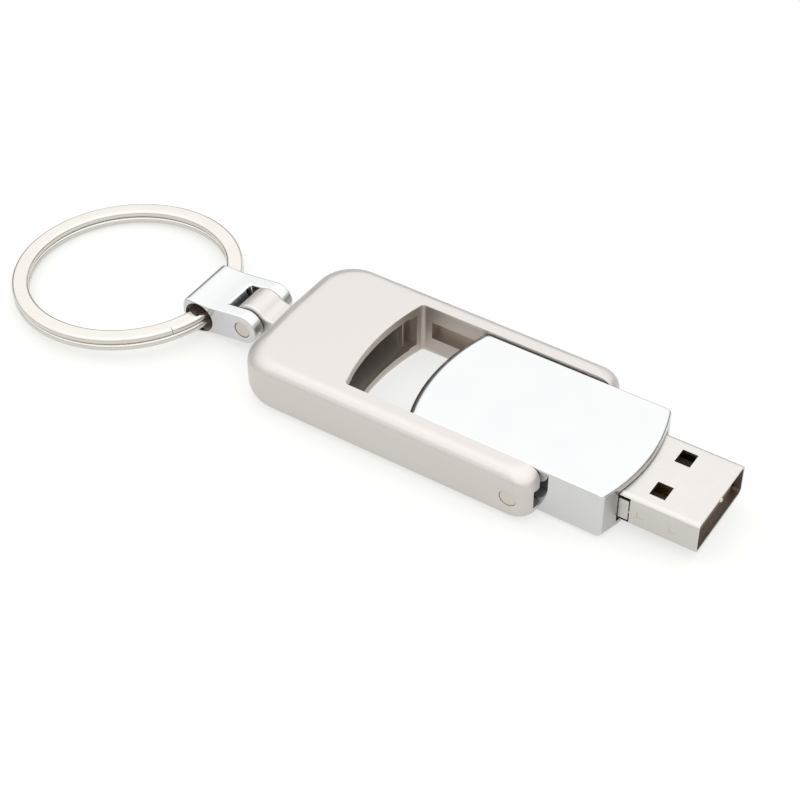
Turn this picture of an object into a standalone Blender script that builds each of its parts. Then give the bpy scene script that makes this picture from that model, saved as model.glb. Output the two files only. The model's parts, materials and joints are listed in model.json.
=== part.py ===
"""Flip-over USB flash drive in a two-armed key-ring frame.

A satin cast frame holds a polished drive between its two arms.  A slide block in each arm's
groove carries a pivot stud, so the drive slides along the arms and turns end over end.  With the
plug turned to the closed end it slides back and the plug is stored inside.  A clevis shackle
and a split ring hang on the frame's knuckle.

Frame of the part: origin on the flat underside of the frame's closed end, on the mid-line.
+X runs towards the USB plug, +Y across the frame, +Z up.
"""
import math

import bmesh
import bpy
from mathutils import Matrix, Vector

MM = 0.001

# ---------------------------------------------------------------- driving sizes
PLUG_WIDTH = 12.0 * MM           # USB type A shell
PLUG_HEIGHT = 4.5 * MM
PLUG_REACH = 10.9 * MM           # how far the plug stands out of the housing's end corners
PLUG_ROOT = 2.9 * MM             # length of shell inside the housing
SHELL_WALL = 0.3 * MM
SHELL_CORNER = 0.45 * MM
SHELL_HOLE = 2.0 * MM            # latch holes, along the plug
SHELL_HOLE_WIDTH = 2.3 * MM
SHELL_HOLE_SETBACK = 5.16 * MM
SHELL_HOLE_OFFSET = 3.13 * MM    # from the mid-line to each hole's centre
SHELL_LEG_SETBACK = 8.98 * MM    # from the mouth to the leg at the back of each side wall
SHELL_LEG_SLIT = 0.35 * MM       # slits above and below that leg

DRIVE_LENGTH = 26.2 * MM         # corner to corner
DRIVE_WIDTH = 17.28 * MM
DRIVE_INSET = 0.3 * MM           # top and bottom lie this far inside the frame's faces
DRIVE_END_BULGE = 1.6 * MM       # both ends are bowed
DRIVE_CORNER = 0.6 * MM
DRIVE_SIDE_EDGE = 0.35 * MM      # edge radius along the sides
DRIVE_END_EDGE = 0.6 * MM        # edge radius across the ends
DRIVE_WALL = 0.75 * MM           # top and bottom wall
DRIVE_SIDE_WALL = 1.3 * MM
DRIVE_END_WALL = 1.1 * MM
DRIVE_SIDE_GAP = 0.11 * MM       # between the drive and each arm
MOUTH_SIDE_GAP = 0.35 * MM       # housing's mouth to the plug's sides
MOUTH_RISE = 0.37 * MM           # and to its top and bottom

FRAME_THICKNESS = 7.34 * MM
FRAME_EDGE = 1.8 * MM            # edge radius along the sides
FRAME_TAIL_EDGE = 2.6 * MM       # edge radius across the closed end
FRAME_TAIL_CORNER = 4.8 * MM     # plan radius of the closed end's corners
FRAME_TAIL_BULGE = 0.5 * MM
ARM_WIDTH = 2.95 * MM
ARM_OVERREACH = 1.08 * MM        # arms are this much longer than the drive
ARM_END_EDGE = 3.3 * MM          # arm ends are rounded in side view
ARM_END_CORNER = 1.5 * MM
WINDOW_BULGE = 1.3 * MM          # the window's closed end is hollowed to match the drive
WINDOW_CORNER = 0.6 * MM
TAIL_WALL = 3.9 * MM             # solid metal behind the stored plug
ORIGIN_TO_WINDOW = 8.22 * MM     # from the origin to the window's corners

GROOVE_HEIGHT = 2.6 * MM         # slide groove in each arm's inner face
GROOVE_DEPTH = 1.6 * MM
GROOVE_START = 1.35 * MM         # from the window's corners
STOP_PIN_SETBACK = 2.9 * MM      # from the arm's end to the stop pin's axis
STOP_HEAD_RADIUS = 1.12 * MM
STOP_SHANK_RADIUS = 0.75 * MM
STOP_HEAD_RECESS = 0.05 * MM
BLOCK_LENGTH = 1.7 * MM
STUD_RADIUS = 0.6 * MM
FLIP_CLEARANCE = 0.3 * MM        # plug tip to the window's end as the drive turns over
STORE_CLEARANCE = 0.15 * MM      # drive to the window's end when it is stored

CAVITY_SIDE_GAP = 0.15 * MM      # plug cavity in the closed end
CAVITY_RISE = 0.32 * MM          # above and below the stored plug
CAVITY_STEP_WIDTH = 1.5 * MM     # shallow step on each side of its mouth
CAVITY_STEP_DEPTH = 1.1 * MM
CAVITY_STEP_DROP = 0.2 * MM      # the step is this much lower than the cavity, top and bottom

KNUCKLE_RADIUS = 2.45 * MM
KNUCKLE_WEB = 3.3 * MM           # height of the web behind the knuckle
KNUCKLE_REACH = 3.9 * MM         # from the frame's end to the shackle pin's axis
SHACKLE_WIDTH = 8.3 * MM
SHACKLE_EAR_RADIUS = 2.1 * MM
SHACKLE_EAR_WIDTH = 1.85 * MM
BARREL_WALL = 0.61 * MM          # round the ring's bore
BORE_TO_SLOT = 1.5 * MM          # metal between the bore and the fork
SHACKLE_WAIST_RADIUS = 6.5 * MM
SHACKLE_SLOT_GAP = 1.0 * MM      # between the knuckle and the bottom of the fork
BARREL_REST_GAP = 0.05 * MM      # the shackle droops until its barrel is this near the table
SHACKLE_PIN_RADIUS = 1.12 * MM
SHACKLE_PIN_RECESS = 0.05 * MM

RING_RADIUS = 15.22 * MM         # outer
RING_WIRE_WIDTH = 2.2 * MM
RING_WIRE_HEIGHT = 0.98 * MM
RING_COIL_GAP = 0.1 * MM         # between the two coils
RING_OFFSET = -1.5 * MM          # the ring hangs a little to one side of the mid-line
RING_ROLL = -1.34                # degrees the ring leans across
RING_REST_GAP = 0.03 * MM        # it slopes down until its far side is this near the table
RING_RAMP_START = 331.0          # degrees round the ring where the wire climbs to the top coil
RING_RAMP = 24.0
RING_CLEARANCE = 0.24 * MM       # ring to the shackle's bore
BORE_FLARE = 0.42 * MM           # the bore opens out by this at each mouth
BORE_FLARE_DEPTH = 1.5 * MM

TONGUE_HEIGHT = 1.85 * MM
TONGUE_SETBACK = 1.0 * MM
TONGUE_BASE_SETBACK = 8.6 * MM   # behind this the tongue fills the shell
CONTACT_WIDTH = 1.0 * MM
CONTACT_THICKNESS = 0.2 * MM
CONTACT_TAIL = 1.4 * MM          # soldered length on the board
CONTACT_OFFSETS = (-3.5 * MM, -1.0 * MM, 1.0 * MM, 3.5 * MM)
CONTACT_SETBACKS = (1.6 * MM, 2.6 * MM, 2.6 * MM, 1.6 * MM)
TRAY_RAIL = 0.9 * MM
TRAY_SIDE_GAP = 0.24 * MM
TRAY_SETBACK = 0.5 * MM          # from the shell's rear edge to the tray
BOARD_THICKNESS = 1.0 * MM
CHIP_EDGE = 0.1 * MM
FLASH_FROM_FRONT = 8.0 * MM      # the flash chip fills the board behind this
FLASH_REAR_MARGIN = 1.2 * MM
FLASH_SIDE_MARGIN = 0.95 * MM
FLASH_HEIGHT = 1.0 * MM
CONTROLLER_SIZE = (4.5 * MM, 4.5 * MM, 0.8 * MM)
CONTROLLER_FROM_FRONT = 5.2 * MM
CONTROLLER_OFFSET = -1.6 * MM
CRYSTAL_SIZE = (3.2 * MM, 2.5 * MM, 0.7 * MM)
CRYSTAL_FROM_FRONT = 5.2 * MM
CRYSTAL_FROM_EDGE = 2.5 * MM
CAPACITOR_SIZE = (1.0 * MM, 0.5 * MM, 0.5 * MM)
CAPACITOR_FROM_FRONT = 2.0 * MM
CAPACITOR_FROM_EDGE = (1.0 * MM, 4.3 * MM, 0.6 * MM)

PRESS_GAP = 0.04 * MM            # between parts pressed or glued together
RUN_GAP = 0.08 * MM              # between parts that move on each other
PAST = 1.0 * MM                  # how far a cutter runs past what it cuts

# ---------------------------------------------------------------- places that follow
MID_Z = FRAME_THICKNESS / 2
DRIVE_THICKNESS = FRAME_THICKNESS - 2 * DRIVE_INSET
WINDOW_HALF = DRIVE_WIDTH / 2 + DRIVE_SIDE_GAP
FRAME_HALF = WINDOW_HALF + ARM_WIDTH
WINDOW_X = ORIGIN_TO_WINDOW
ARM_END_X = WINDOW_X + DRIVE_LENGTH + ARM_OVERREACH
STOP_PIN_X = ARM_END_X - STOP_PIN_SETBACK
PIVOT_X = STOP_PIN_X - STOP_SHANK_RADIUS - RUN_GAP - BLOCK_LENGTH / 2
PLUG_HALF = PLUG_WIDTH / 2
WINDOW_AT_PLUG_X = WINDOW_X - WINDOW_BULGE * (1 - (PLUG_HALF / WINDOW_HALF) ** 2)
PLUG_TIP_X = PIVOT_X + (PIVOT_X - WINDOW_AT_PLUG_X) - FLIP_CLEARANCE
DRIVE_FRONT_X = PLUG_TIP_X - PLUG_REACH
DRIVE_REAR_X = DRIVE_FRONT_X - DRIVE_LENGTH
CAVITY_X = WINDOW_X - PLUG_REACH - STORE_CLEARANCE - RUN_GAP
TAIL_X = CAVITY_X - TAIL_WALL
CAVITY_HALF = PLUG_HALF + CAVITY_SIDE_GAP
CAVITY_HALF_HEIGHT = PLUG_HEIGHT / 2 + CAVITY_RISE
GROOVE_FLOOR = WINDOW_HALF + GROOVE_DEPTH
SHACKLE_PIN_X = TAIL_X - KNUCKLE_REACH
SHACKLE_HALF = SHACKLE_WIDTH / 2
SLOT_HALF = SHACKLE_HALF - SHACKLE_EAR_WIDTH
KNUCKLE_HALF = SLOT_HALF - RUN_GAP
SLOT_FLOOR = KNUCKLE_RADIUS + SHACKLE_SLOT_GAP
RING_HEIGHT = 2 * RING_WIRE_HEIGHT + RING_COIL_GAP
RING_MEAN_RADIUS = RING_RADIUS - RING_WIRE_WIDTH / 2


def ring_bow(y):
    """How far the ring's centre line has curved away at y from its nearest point."""
    return RING_MEAN_RADIUS - math.sqrt(RING_MEAN_RADIUS ** 2 - (y - RING_OFFSET) ** 2)


BORE_STRAIGHT = SHACKLE_HALF - BORE_FLARE_DEPTH
BORE_BOW = ring_bow(BORE_STRAIGHT)
BORE_RADIUS = math.hypot(RING_WIRE_WIDTH / 2 + BORE_BOW / 2, RING_HEIGHT / 2) + RING_CLEARANCE
BARREL_RADIUS = BORE_RADIUS + BARREL_WALL
BORE_FROM_PIN = SLOT_FLOOR + BORE_RADIUS + BORE_TO_SLOT
DROOP = math.asin((MID_Z - BARREL_RADIUS - BARREL_REST_GAP) / BORE_FROM_PIN)
BORE_X = SHACKLE_PIN_X - BORE_FROM_PIN * math.cos(DROOP)
BORE_Z = MID_Z - BORE_FROM_PIN * math.sin(DROOP)


def ring_pitch():
    """Slope at which the far side of the leaning ring comes down to the table, in radians."""
    drop = BORE_Z - RING_HEIGHT / 2 - RING_REST_GAP
    lean = RING_RADIUS * math.sin(math.radians(RING_ROLL))
    square = RING_RADIUS ** 2 - RING_MEAN_RADIUS ** 2
    half_linear = drop * RING_MEAN_RADIUS
    root = math.sqrt(half_linear ** 2 + square * (drop ** 2 - lean ** 2))
    return math.asin((root - half_linear) / square)


RING_PITCH = ring_pitch()

ROOM_HALF_HEIGHT = DRIVE_THICKNESS / 2 - DRIVE_WALL
HOUSING_INNER_HALF = DRIVE_WIDTH / 2 - DRIVE_SIDE_WALL
HOUSING_INNER_REAR = DRIVE_REAR_X + DRIVE_END_WALL
MOUTH_HALF = PLUG_HALF + MOUTH_SIDE_GAP
MOUTH_HALF_HEIGHT = PLUG_HEIGHT / 2 + MOUTH_RISE
SHELL_REAR_X = DRIVE_FRONT_X - PLUG_ROOT
TONGUE_TOP = MID_Z - PLUG_HEIGHT / 2 + SHELL_WALL + PRESS_GAP + TONGUE_HEIGHT
CONTACT_LOW = TONGUE_TOP - CONTACT_THICKNESS / 2
BOARD_TOP = CONTACT_LOW - PRESS_GAP
BOARD_LOW = BOARD_TOP - BOARD_THICKNESS
TRAY_HALF = HOUSING_INNER_HALF - TRAY_SIDE_GAP
BOARD_HALF = TRAY_HALF - TRAY_RAIL
TRAY_REAR_X = HOUSING_INNER_REAR + RUN_GAP
BOARD_REAR_X = TRAY_REAR_X + TRAY_RAIL
BOARD_FRONT_X = SHELL_REAR_X - PRESS_GAP


# ---------------------------------------------------------------- scene and materials
for old in list(bpy.data.objects):
    bpy.data.objects.remove(old, do_unlink=True)


def material(name, colour, roughness, metallic):
    mat = bpy.data.materials.new(name)
    mat.use_nodes = True
    shader = mat.node_tree.nodes["Principled BSDF"]
    shader.inputs["Base Color"].default_value = (*colour, 1.0)
    shader.inputs["Roughness"].default_value = roughness
    shader.inputs["Metallic"].default_value = metallic
    return mat


SATIN_NICKEL = material("satin_nickel", (0.80, 0.77, 0.74), 0.38, 1.0)
CHROME = material("chrome", (0.86, 0.88, 0.89), 0.06, 1.0)
NICKEL = material("bright_nickel", (0.82, 0.80, 0.77), 0.15, 1.0)
TIN = material("tinned_steel", (0.78, 0.75, 0.72), 0.30, 1.0)
GOLD = material("gold_plate", (0.83, 0.62, 0.26), 0.22, 1.0)
BLACK = material("black_plastic", (0.03, 0.028, 0.026), 0.5, 0.0)
GREEN = material("solder_mask", (0.02, 0.11, 0.05), 0.35, 0.0)
CERAMIC = material("capacitor_ceramic", (0.45, 0.33, 0.22), 0.5, 0.0)


# ---------------------------------------------------------------- shape helpers
def add_object(name, mesh_data, mat, parent=None):
    """Make a node from a bmesh that is drawn in world coordinates."""
    bmesh.ops.recalc_face_normals(mesh_data, faces=mesh_data.faces)
    mesh = bpy.data.meshes.new(name)
    mesh_data.to_mesh(mesh)
    mesh_data.free()
    obj = bpy.data.objects.new(name, mesh)
    bpy.context.collection.objects.link(obj)
    mesh.materials.append(mat)
    mesh.shade_smooth()
    mesh.set_sharp_from_angle(angle=math.radians(35))
    if parent is not None:
        obj.parent = parent
        obj.matrix_parent_inverse = Matrix.Translation(-parent.location)
    return obj


def shape_with(target, name, mesh_data, operation):
    """Cut a shape from the target, or add it, with a live Boolean and a hidden tool."""
    tool = add_object(name, mesh_data, target.data.materials[0])
    tool.hide_render = True
    tool.display_type = "WIRE"
    boolean = target.modifiers.new(name, "BOOLEAN")
    boolean.operation = operation
    boolean.solver = "EXACT"
    boolean.object = tool
    tool.parent = target
    return tool


def cut(target, name, mesh_data):
    return shape_with(target, name, mesh_data, "DIFFERENCE")


def merge(target, name, mesh_data):
    return shape_with(target, name, mesh_data, "UNION")


def box(x0, x1, y0, y1, z0, z1):
    shape = bmesh.new()
    bmesh.ops.create_cube(shape, size=1.0)
    bmesh.ops.scale(shape, vec=(x1 - x0, y1 - y0, z1 - z0), verts=shape.verts)
    bmesh.ops.translate(shape, vec=((x0 + x1) / 2, (y0 + y1) / 2, (z0 + z1) / 2), verts=shape.verts)
    return shape


def loft(outlines):
    """Close a stack of equal outlines, each a list of 3-D points, into one solid."""
    shape = bmesh.new()
    rings = [[shape.verts.new(point) for point in outline] for outline in outlines]
    for low, high in zip(rings, rings[1:]):
        for i in range(len(low)):
            j = (i + 1) % len(low)
            shape.faces.new((low[i], low[j], high[j], high[i]))
    shape.faces.new(list(reversed(rings[0])))
    shape.faces.new(rings[-1])
    return shape


def turned(profile, centre, steps=32):
    """Solid of revolution about a line along Y: profile is (y, radius) from end to end."""
    x, z = centre
    outlines = []
    for y, radius in profile:
        angles = [2 * math.pi * k / steps for k in range(steps)]
        outlines.append([(x + radius * math.cos(a), y, z + radius * math.sin(a)) for a in angles])
    return loft(outlines)


def rounded_plan(x0, x1, half, radius0, radius1, bulge0, bulge1, corner_steps=5, end_steps=8):
    """Plan outline with rounded corners; each end bows outwards by its bulge."""
    points = []

    def corner(cx, cy, radius, start):
        for k in range(corner_steps + 1):
            angle = start + math.pi / 2 * k / corner_steps
            points.append((cx + radius * math.cos(angle), cy + radius * math.sin(angle)))

    def end(x, reach, direction):
        for k in range(1, end_steps):
            points.append((x, direction * reach * (1 - 2 * k / end_steps)))

    corner(x1 - radius1, half - radius1, radius1, 0)
    corner(x0 + radius0, half - radius0, radius0, math.pi / 2)
    end(x0, half - radius0, 1)
    corner(x0 + radius0, -half + radius0, radius0, math.pi)
    corner(x1 - radius1, -half + radius1, radius1, 1.5 * math.pi)
    end(x1, half - radius1, -1)
    middle = (x0 + x1) / 2
    bowed = []
    for x, y in points:
        share = 1 - (y / half) ** 2
        bowed.append((x + (bulge1 if x > middle else -bulge0) * share, y))
    return bowed


def edge_inset(height, half, radius):
    """How far a rounded edge has drawn in at this height from the mid-plane."""
    past_flat = abs(height) - (half - radius)
    if past_flat <= 0:
        return 0.0
    return radius - math.sqrt(max(radius ** 2 - past_flat ** 2, 0.0))


def edge_heights(half, radii, steps=4):
    """Heights at which edges of these radii need a section, lowest first."""
    heights = set()
    for radius in radii:
        for k in range(steps + 1):
            height = half - radius * (1 - math.sin(math.pi / 2 * k / steps))
            heights.add(round(height, 9))
            heights.add(round(-height, 9))
    return sorted(heights)


def empty(name, x, z):
    """An empty on a joint's axis, which moving pieces hang from."""
    pivot = bpy.data.objects.new(name, None)
    bpy.context.collection.objects.link(pivot)
    pivot.location = (x, 0.0, z)
    return pivot


SLIDER_PIVOT = empty("slider_datum", PIVOT_X, MID_Z)
DRIVE_PIVOT = empty("drive_pivot", PIVOT_X, MID_Z)
SHACKLE_PIVOT = empty("shackle_pivot", SHACKLE_PIN_X, MID_Z)
RING_PIVOT = empty("ring_pivot", BORE_X, BORE_Z)


# ---------------------------------------------------------------- frame
def frame_casting():
    half = FRAME_THICKNESS / 2
    tip_edge = min(ARM_END_EDGE, half)
    sections = []
    for height in edge_heights(half, (FRAME_EDGE, FRAME_TAIL_EDGE, tip_edge)):
        side = edge_inset(height, half, FRAME_EDGE)
        tail = edge_inset(height, half, FRAME_TAIL_EDGE)
        tip = edge_inset(height, half, tip_edge)
        plan = rounded_plan(TAIL_X + FRAME_TAIL_BULGE + tail, ARM_END_X - tip, FRAME_HALF - side,
                            FRAME_TAIL_CORNER - side / 2, ARM_END_CORNER, FRAME_TAIL_BULGE, 0.0)
        sections.append([(x, y, MID_Z + height) for x, y in plan])
    frame = add_object("frame_casting", loft(sections), SATIN_NICKEL)

    web = box(SHACKLE_PIN_X, TAIL_X + TAIL_WALL / 2, -KNUCKLE_HALF, KNUCKLE_HALF,
              MID_Z - KNUCKLE_WEB / 2, MID_Z + KNUCKLE_WEB / 2)
    merge(frame, "knuckle_web", web)
    barrel = turned([(-KNUCKLE_HALF, KNUCKLE_RADIUS), (KNUCKLE_HALF, KNUCKLE_RADIUS)],
                    (SHACKLE_PIN_X, MID_Z))
    merge(frame, "knuckle_barrel", barrel)
    bore = turned([(-KNUCKLE_HALF - PAST, SHACKLE_PIN_RADIUS + RUN_GAP),
                   (KNUCKLE_HALF + PAST, SHACKLE_PIN_RADIUS + RUN_GAP)],
                  (SHACKLE_PIN_X, MID_Z), 24)
    cut(frame, "knuckle_bore", bore)

    window = rounded_plan(WINDOW_X, ARM_END_X + 2 * PAST, WINDOW_HALF, WINDOW_CORNER,
                          WINDOW_CORNER, WINDOW_BULGE, 0.0, 3, 10)
    cut(frame, "window", loft([[(x, y, -PAST) for x, y in window],
                               [(x, y, FRAME_THICKNESS + PAST) for x, y in window]]))
    cut(frame, "plug_cavity", box(CAVITY_X, WINDOW_X + PAST, -CAVITY_HALF, CAVITY_HALF,
                                  MID_Z - CAVITY_HALF_HEIGHT, MID_Z + CAVITY_HALF_HEIGHT))
    step = CAVITY_HALF + CAVITY_STEP_WIDTH
    step_height = CAVITY_HALF_HEIGHT - CAVITY_STEP_DROP
    cut(frame, "cavity_step", box(WINDOW_X - WINDOW_BULGE - CAVITY_STEP_DEPTH, WINDOW_X + PAST,
                                  -step, step, MID_Z - step_height, MID_Z + step_height))
    for side, name in ((-1, "near"), (1, "far")):
        inner, floor = sorted((side * (WINDOW_HALF - PAST), side * GROOVE_FLOOR))
        cut(frame, "groove_" + name, box(WINDOW_X + GROOVE_START, ARM_END_X + PAST, inner, floor,
                                         MID_Z - GROOVE_HEIGHT / 2, MID_Z + GROOVE_HEIGHT / 2))
        hole = STOP_HEAD_RADIUS + PRESS_GAP
        ends = sorted((side * (GROOVE_FLOOR - PAST / 2), side * (FRAME_HALF + PAST)))
        cut(frame, "stop_hole_" + name, turned([(ends[0], hole), (ends[1], hole)],
                                               (STOP_PIN_X, MID_Z), 24))
    return frame


def stop_pin(side, name):
    """Stepped pin pressed into the arm; its shank stops the slide block in the groove."""
    profile = [(side * (WINDOW_HALF + RUN_GAP), STOP_SHANK_RADIUS),
               (side * (GROOVE_FLOOR + PRESS_GAP), STOP_SHANK_RADIUS),
               (side * (GROOVE_FLOOR + PRESS_GAP), STOP_HEAD_RADIUS),
               (side * (FRAME_HALF - STOP_HEAD_RECESS), STOP_HEAD_RADIUS)]
    return add_object("stop_pin_" + name, turned(profile, (STOP_PIN_X, MID_Z), 24), NICKEL)


def slide_block(side, name):
    low, high = sorted((side * (WINDOW_HALF + RUN_GAP), side * (GROOVE_FLOOR - RUN_GAP)))
    block = add_object("slide_block_" + name,
                       box(PIVOT_X - BLOCK_LENGTH / 2, PIVOT_X + BLOCK_LENGTH / 2, low, high,
                           MID_Z - GROOVE_HEIGHT / 2 + RUN_GAP, MID_Z + GROOVE_HEIGHT / 2 - RUN_GAP),
                       GOLD, SLIDER_PIVOT)
    hole = STUD_RADIUS + RUN_GAP / 2
    cut(block, "stud_hole_" + name, turned([(low - PAST / 4, hole), (high + PAST / 4, hole)],
                                           (PIVOT_X, MID_Z), 20))
    return block


# ---------------------------------------------------------------- drive
def drive_housing():
    half = DRIVE_THICKNESS / 2
    sections = []
    for height in edge_heights(half, (DRIVE_SIDE_EDGE, DRIVE_END_EDGE), 3):
        side = edge_inset(height, half, DRIVE_SIDE_EDGE)
        end = edge_inset(height, half, DRIVE_END_EDGE)
        plan = rounded_plan(DRIVE_REAR_X + end, DRIVE_FRONT_X - end, DRIVE_WIDTH / 2 - side,
                            DRIVE_CORNER, DRIVE_CORNER, DRIVE_END_BULGE, DRIVE_END_BULGE, 3, 12)
        sections.append([(x, y, MID_Z + height) for x, y in plan])
    housing = add_object("drive_housing", loft(sections), CHROME, DRIVE_PIVOT)
    cut(housing, "housing_room", box(HOUSING_INNER_REAR, DRIVE_FRONT_X - DRIVE_END_WALL,
                                     -HOUSING_INNER_HALF, HOUSING_INNER_HALF,
                                     MID_Z - ROOM_HALF_HEIGHT, MID_Z + ROOM_HALF_HEIGHT))
    cut(housing, "housing_mouth", box(SHELL_REAR_X - MOUTH_SIDE_GAP,
                                      DRIVE_FRONT_X + DRIVE_END_BULGE + PAST,
                                      -MOUTH_HALF, MOUTH_HALF,
                                      MID_Z - MOUTH_HALF_HEIGHT, MID_Z + MOUTH_HALF_HEIGHT))
    hole = STUD_RADIUS + PRESS_GAP
    cut(housing, "stud_holes", turned([(-DRIVE_WIDTH / 2 - PAST, hole),
                                       (DRIVE_WIDTH / 2 + PAST, hole)], (PIVOT_X, MID_Z), 20))
    return housing


def pivot_stud(side, name):
    profile = [(side * (HOUSING_INNER_HALF + PRESS_GAP), STUD_RADIUS),
               (side * (GROOVE_FLOOR - 2 * RUN_GAP), STUD_RADIUS)]
    return add_object("pivot_stud_" + name, turned(profile, (PIVOT_X, MID_Z), 20), NICKEL,
                      DRIVE_PIVOT)


def shell_section(x, grow):
    """Rounded rectangle across the plug; grow is negative for the inside of the wall."""
    half_y = PLUG_HALF + grow
    half_z = PLUG_HEIGHT / 2 + grow
    radius = SHELL_CORNER + grow
    points = []
    for quarter, (sy, sz) in enumerate(((1, 1), (-1, 1), (-1, -1), (1, -1))):
        for k in range(4):
            angle = math.pi / 2 * (quarter + k / 3)
            points.append((x, sy * (half_y - radius) + radius * math.cos(angle),
                           MID_Z + sz * (half_z - radius) + radius * math.sin(angle)))
    return points


def usb_shell():
    shell = add_object("usb_shell", loft([shell_section(SHELL_REAR_X, 0.0),
                                          shell_section(PLUG_TIP_X, 0.0)]), TIN, DRIVE_PIVOT)
    cut(shell, "shell_room", loft([shell_section(SHELL_REAR_X - PAST, -SHELL_WALL),
                                   shell_section(PLUG_TIP_X + PAST, -SHELL_WALL)]))
    hole_x = PLUG_TIP_X - SHELL_HOLE_SETBACK
    for side in (-1, 1):
        middle = side * SHELL_HOLE_OFFSET
        cut(shell, "latch_hole_%d" % side,
            box(hole_x - SHELL_HOLE, hole_x, middle - SHELL_HOLE_WIDTH / 2,
                middle + SHELL_HOLE_WIDTH / 2, MID_Z - PLUG_HEIGHT, MID_Z + PLUG_HEIGHT))
    leg_x = PLUG_TIP_X - SHELL_LEG_SETBACK
    for level in (1, -1):
        top = level * (PLUG_HEIGHT / 2 - SHELL_CORNER)
        low, high = sorted((top, top - level * SHELL_LEG_SLIT))
        cut(shell, "leg_slit_%d" % level,
            box(SHELL_REAR_X - PAST, leg_x, -PLUG_HALF - PAST, PLUG_HALF + PAST,
                MID_Z + low, MID_Z + high))
    return shell


def contact_box(offset, setback, grow):
    """Room of one contact: a straight blade from the plug's mouth to the board."""
    return box(SHELL_REAR_X - CONTACT_TAIL, PLUG_TIP_X - setback,
               offset - CONTACT_WIDTH / 2 - grow, offset + CONTACT_WIDTH / 2 + grow,
               CONTACT_LOW - grow, CONTACT_LOW + CONTACT_THICKNESS + grow)


def usb_tongue():
    half = PLUG_HALF - SHELL_WALL - PRESS_GAP - SHELL_CORNER
    floor = TONGUE_TOP - TONGUE_HEIGHT
    roof = MID_Z + PLUG_HEIGHT / 2 - SHELL_WALL - PRESS_GAP
    tongue = add_object("usb_tongue", box(SHELL_REAR_X, PLUG_TIP_X - TONGUE_SETBACK, -half, half,
                                          floor, TONGUE_TOP), BLACK, DRIVE_PIVOT)
    merge(tongue, "tongue_base", box(SHELL_REAR_X, PLUG_TIP_X - TONGUE_BASE_SETBACK,
                                     -half, half, floor, roof))
    for k, (offset, setback) in enumerate(zip(CONTACT_OFFSETS, CONTACT_SETBACKS)):
        cut(tongue, "contact_slot_%d" % (k + 1), contact_box(offset, setback, PRESS_GAP))
    return tongue


def circuit_board():
    return add_object("circuit_board", box(BOARD_REAR_X, BOARD_FRONT_X, -BOARD_HALF, BOARD_HALF,
                                           BOARD_LOW, BOARD_TOP), GREEN, DRIVE_PIVOT)


def on_board(name, mat, from_front, offset, size):
    """A component on the board; its middle is measured back from the board's front edge."""
    length, width, height = size
    middle = BOARD_FRONT_X - from_front
    low = BOARD_TOP + PRESS_GAP
    shape = box(middle - length / 2, middle + length / 2, offset - width / 2, offset + width / 2,
                low, low + height)
    rim = [e for e in shape.edges if min(v.co.z for v in e.verts) > low + height / 2]
    bmesh.ops.bevel(shape, geom=rim, offset=CHIP_EDGE, segments=1, affect="EDGES")
    return add_object(name, shape, mat, DRIVE_PIVOT)


def board_tray():
    front = SHELL_REAR_X - TRAY_SETBACK
    tray = add_object("board_tray", box(TRAY_REAR_X, front, -TRAY_HALF, TRAY_HALF,
                                        MID_Z - ROOM_HALF_HEIGHT + RUN_GAP, TONGUE_TOP),
                      BLACK, DRIVE_PIVOT)
    cut(tray, "tray_room", box(BOARD_REAR_X - PRESS_GAP, front + PAST,
                               -BOARD_HALF - PRESS_GAP, BOARD_HALF + PRESS_GAP,
                               BOARD_LOW - PRESS_GAP, TONGUE_TOP + PAST))
    return tray


def drive_insides():
    usb_tongue()
    for k, (offset, setback) in enumerate(zip(CONTACT_OFFSETS, CONTACT_SETBACKS)):
        add_object("usb_contact_%d" % (k + 1), contact_box(offset, setback, 0.0), GOLD, DRIVE_PIVOT)
    circuit_board()
    board_tray()
    flash_length = BOARD_FRONT_X - BOARD_REAR_X - FLASH_FROM_FRONT - FLASH_REAR_MARGIN
    on_board("flash_chip", BLACK, FLASH_FROM_FRONT + flash_length / 2, 0.0,
             (flash_length, 2 * (BOARD_HALF - FLASH_SIDE_MARGIN), FLASH_HEIGHT))
    on_board("controller_chip", BLACK, CONTROLLER_FROM_FRONT, CONTROLLER_OFFSET, CONTROLLER_SIZE)
    on_board("crystal", TIN, CRYSTAL_FROM_FRONT, BOARD_HALF - CRYSTAL_FROM_EDGE, CRYSTAL_SIZE)
    for k, (side, from_edge) in enumerate(zip((-1, 1, 1), CAPACITOR_FROM_EDGE)):
        on_board("capacitor_%d" % (k + 1), CERAMIC, CAPACITOR_FROM_FRONT,
                 side * (BOARD_HALF - from_edge), CAPACITOR_SIZE)


# ---------------------------------------------------------------- shackle
def shackle_point(along, up, y):
    """From the shackle's own axes to the part's: along runs from its pin to its bore."""
    x = SHACKLE_PIN_X - along * math.cos(DROOP) - up * math.sin(DROOP)
    z = MID_Z - along * math.sin(DROOP) + up * math.cos(DROOP)
    return (x, y, z)


def arc(centre, radius, start, stop, steps):
    """Points from one angle to the other, with both ends."""
    angles = [start + (stop - start) * k / steps for k in range(steps + 1)]
    return [(centre[0] + radius * math.cos(a), centre[1] + radius * math.sin(a)) for a in angles]


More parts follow.
